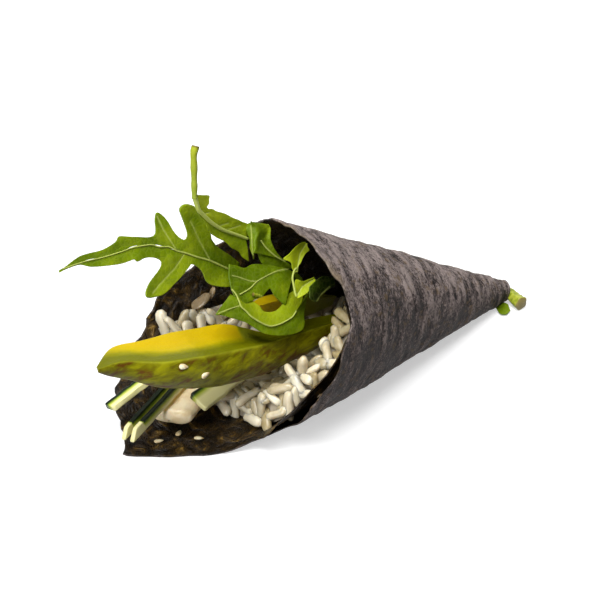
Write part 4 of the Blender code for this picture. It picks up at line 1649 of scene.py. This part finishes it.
@dataclass
class ClearBits:
    """Moist, half clear slivers that cling to the inside of the mouth.

    Each row is a middle, a length, a width and a height, and the way it points.
    """

    bits: Points = (
        (-32.2, 24.8, 24.4, 6.8, 4.4, 1.6, 0.9, 0.2, 0.3),
        (-27.6, 25.6, 25.0, 3.4, 2.2, 1.2, 0.5, 0.1, 0.8),
    )

    def build(self) -> Draft:
        """Lumpy flattened balls, their longest side along the way they point."""
        turn = np.linspace(0, 2 * math.pi, 20, endpoint=False)
        tall = (np.arange(14) + 0.5) * math.pi / 14
        draft = Draft()
        for x, y, z, length, width, height, *way in self.bits:
            along = unit(np.array(way))
            flat = unit(np.cross(along, (-0.1, 0.2, 1.0)))
            over = np.cross(along, flat)
            ring = np.sin(tall)[:, None] ** 0.8
            rings = (
                (-np.cos(tall) * length / 2)[:, None, None] * along
                + (ring * np.cos(turn) * width / 2)[..., None] * flat
                + (ring * np.sin(turn) * height / 2)[..., None] * over)
            rings = rings * (1 + 0.18 * NOISE.at(rings + (x, y, z), 2.4))[..., None] + (x, y, z)
            body, faces = tube(rings)
            draft.add(body, faces)
        return draft


# ---------------------------------------------------------------- the studio


@dataclass
class Studio:
    """The pale floor, the soft light and the camera."""

    azimuth: float = -40.0
    elevation: float = 31.0
    distance: float = 600.0
    lens: float = 131.4
    target: tuple[float, float, float] = (-16.96, 0.0, 30.335)

    def build(self) -> None:
        """Makes the whole studio."""
        self._floor()
        self._light()
        self._camera()

    def _floor(self) -> None:
        """A wide plane under the roll."""
        mesh = bpy.data.meshes.new("floor")
        side = 4.0
        mesh.from_pydata([(-side, -side, 0), (side, -side, 0), (side, side, 0), (-side, side, 0)], [], [(0, 1, 2, 3)])
        tree = Tree("floor")
        tree.shader.inputs["Specular IOR Level"].default_value = 0.1
        tree.shader.inputs["Emission Strength"].default_value = 0.5
        mesh.materials.append(tree.dress(Base_Color=(0.6, 0.6, 0.6), Emission_Color=(1.0, 1.0, 1.0), Roughness=0.9))
        floor = bpy.data.objects.new("floor", mesh)
        floor.visible_diffuse = False
        bpy.context.scene.collection.objects.link(floor)

    def _light(self) -> None:
        """A bright even surround, a large soft light from the upper left and a weak one from the right."""
        world = bpy.data.worlds.new("studio")
        world.use_nodes = True
        world.node_tree.nodes["Background"].inputs[0].default_value = (1, 1, 1, 1)
        world.node_tree.nodes["Background"].inputs[1].default_value = 0.18
        bpy.context.scene.world = world
        self._area("key", (-0.3, -0.15, 1.0), 0.7, 17.0)
        self._area("fill", (-1.0, -0.15, 0.3), 0.5, 6.5)
        self._area("back", (0.7, 0.7, 0.6), 0.8, 2.0)

    @staticmethod
    def _area(name: str, place: tuple[float, float, float], size: float, power: float) -> None:
        """A square light that looks at the roll."""
        data = bpy.data.lights.new(name, "AREA")
        data.size = size
        data.energy = power
        light = bpy.data.objects.new(name, data)
        light.location = place
        light.rotation_euler = (-Vector(place)).to_track_quat("-Z", "Y").to_euler()
        bpy.context.scene.collection.objects.link(light)

    def _camera(self) -> None:
        """The camera, on the near left of the roll and above it."""
        azimuth, elevation = math.radians(self.azimuth), math.radians(self.elevation)
        back = Vector((
            math.sin(azimuth) * math.cos(elevation), -math.cos(azimuth) * math.cos(elevation),
            math.sin(elevation)))
        data = bpy.data.cameras.new("camera")
        data.lens = self.lens
        data.clip_end = 20
        camera = bpy.data.objects.new("camera", data)
        camera.location = (Vector(self.target) + back * self.distance) * MM
        camera.rotation_euler = back.to_track_quat("Z", "Y").to_euler()
        bpy.context.scene.collection.objects.link(camera)
        bpy.context.scene.camera = camera
        bpy.context.scene.view_settings.view_transform = "Standard"


def node_tree(name: str) -> BVHTree:
    """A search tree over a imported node's faces."""
    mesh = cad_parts[name].data
    return BVHTree.FromPolygons([v.co for v in mesh.vertices], [tuple(p.vertices) for p in mesh.polygons])


AVOCADO_1 = AvocadoSlice(
    ridge=(
        (-87, -4, 38.8), (-79, -3.5, 37.5), (-69, -7, 35), (-58, -8, 32.5), (-50, -7, 30), (-35, -5, 25.5),
        (-21, -3, 22.3), (-8, -2, 20), (4, -2, 18)),
    heights=((0, 1.2), (0.1, 5), (0.25, 8.5), (0.45, 10.5), (0.62, 10), (0.8, 7.5), (1, 3)),
    widths=(
        (0, 0.9), (0.08, 4), (0.2, 8.5), (0.32, 11), (0.5, 11.5), (0.6, 10.5), (0.66, 5), (0.8, 4.5),
        (1, 2.5)),
    tilt=0.25, side=1, hollow=0.8, green_from=-38.5, knob=(-35.0, -0.5, 27.5))
AVOCADO_2 = AvocadoSlice(
    ridge=((-25, 12, 26.5), (-18, 13.5, 26), (-8, 13, 23.5), (4, 11, 19)),
    heights=((0, 3.5), (0.2, 7.5), (0.5, 9.5), (0.8, 7.5), (1, 3.5)),
    widths=((0, 2.4), (0.2, 5.2), (0.5, 6.5), (0.8, 5.2), (1, 2.4)),
    tilt=0.2, side=-1, sections=90, green_from=-17.0, ripe=6.0)
STICKS = (
    CucumberStick("cucumber_stick_1", (-71.5, 14.6, 11), (-47, 17.6, 15.5), (1.6, 3.8, -0.6), 1.8, rind=0.9),
    CucumberStick(
        "cucumber_stick_2", (-74.2, 4.3, 9.1), (-40, 16.3, 14.4), (0.5, 0.5, 2.9), 1.35, bare_end=2.6, slant=-0.9),
    CucumberStick(
        "cucumber_stick_3", (-72.7, 2.6, 8.7), (-40, 13.8, 13.8), (0.5, 0.5, 2.9), 1.35, bare_end=4.0, slant=-0.9),
    CucumberStick("cucumber_stick_4", (-52, 1.2, 10.8), (-22, 5, 16.5), (-0.9, 5.4, 2.4), 2.2, rind=0.35),
)


# Sesame seeds: the middle of each, the way it points and the way its flat side looks.
SEEDS = (
    (-63.8, -9.0, 32.4, 0.9, -0.25, -0.3, 0, -0.9, 0.44),
    (-57.6, -10.1, 27.8, 1, 0.05, 0.12, 0.07, -0.99, 0.15),
    (-62.3, 5.5, 0.75, 0.9, -0.4, 0, 0, 0, 1),
    (-55.8, 5.1, 0.7, 0.8, 0.5, 0, 0, 0, 1),
    (-53.2, -0.5, 0.85, 0.7, -0.7, 0, 0.06, 0.1, 1),
)


def main() -> None:
    """Builds the roll, its filling and the studio."""
    logging.basicConfig(level=logging.INFO, format="%(name)s: %(message)s")
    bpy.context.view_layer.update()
    roll = Roll()
    install(NoriWrap(roll).build(), "nori_sheet", NoriFinish().build(), "nori", "nori_wrap")
    filling = ["avocado_slice_1", "avocado_slice_2", "pale_strip", *(stick.name for stick in STICKS)]
    heap = RiceHeap(roll)
    install(heap.core(), "rice_core", RiceFinish(pale=(214, 205, 188), clear=(150, 138, 116), name="rice_core").build(), "rice", "rice")
    install(heap.grains([node_tree(name) for name in filling]), "rice_grains", RiceFinish().build(), "rice", "rice")
    avocado = AvocadoFinish().build()
    install(AVOCADO_1.build(), "avocado_long", avocado, "avocado", "avocado_slice_1")
    install(AVOCADO_2.build(), "avocado_short", avocado, "avocado", "avocado_slice_2")
    cucumber = CucumberFinish().build()
    for number, stick in enumerate(STICKS, 1):
        install(stick.build(), f"cucumber_{number}", cucumber, "cucumber", stick.name)
    install(CreamStrip().build(), "cream_strip", CreamFinish().build(), "pale_strip", "pale_strip")
    leaf = LeafFinish().build()
    for drawn in LEAVES:
        install(drawn.build(), f"rocket_{drawn.name}", leaf, "leaf", drawn.name)
    install(TipStem().build(), "stem_at_tip", StemFinish().build(), "stem", "tip_stem")
    install(TIP_LEAF.build(), "leaf_bit_at_tip", leaf, "leaf")
    seeds = SesameSeeds().build(*(np.array(SEEDS, float).reshape(-1, 3, 3).transpose(1, 0, 2)))
    install(seeds, "sesame_seeds", SeedFinish().build(), "rice")
    clear = RiceFinish(pale=(176, 160, 132), clear=(120, 104, 78), name="clear_bits").build()
    install(ClearBits().build(), "clear_bits", clear, "rice")
    Studio().build()
    bpy.context.view_layer.update()


if __name__ == "__main__":
    main()
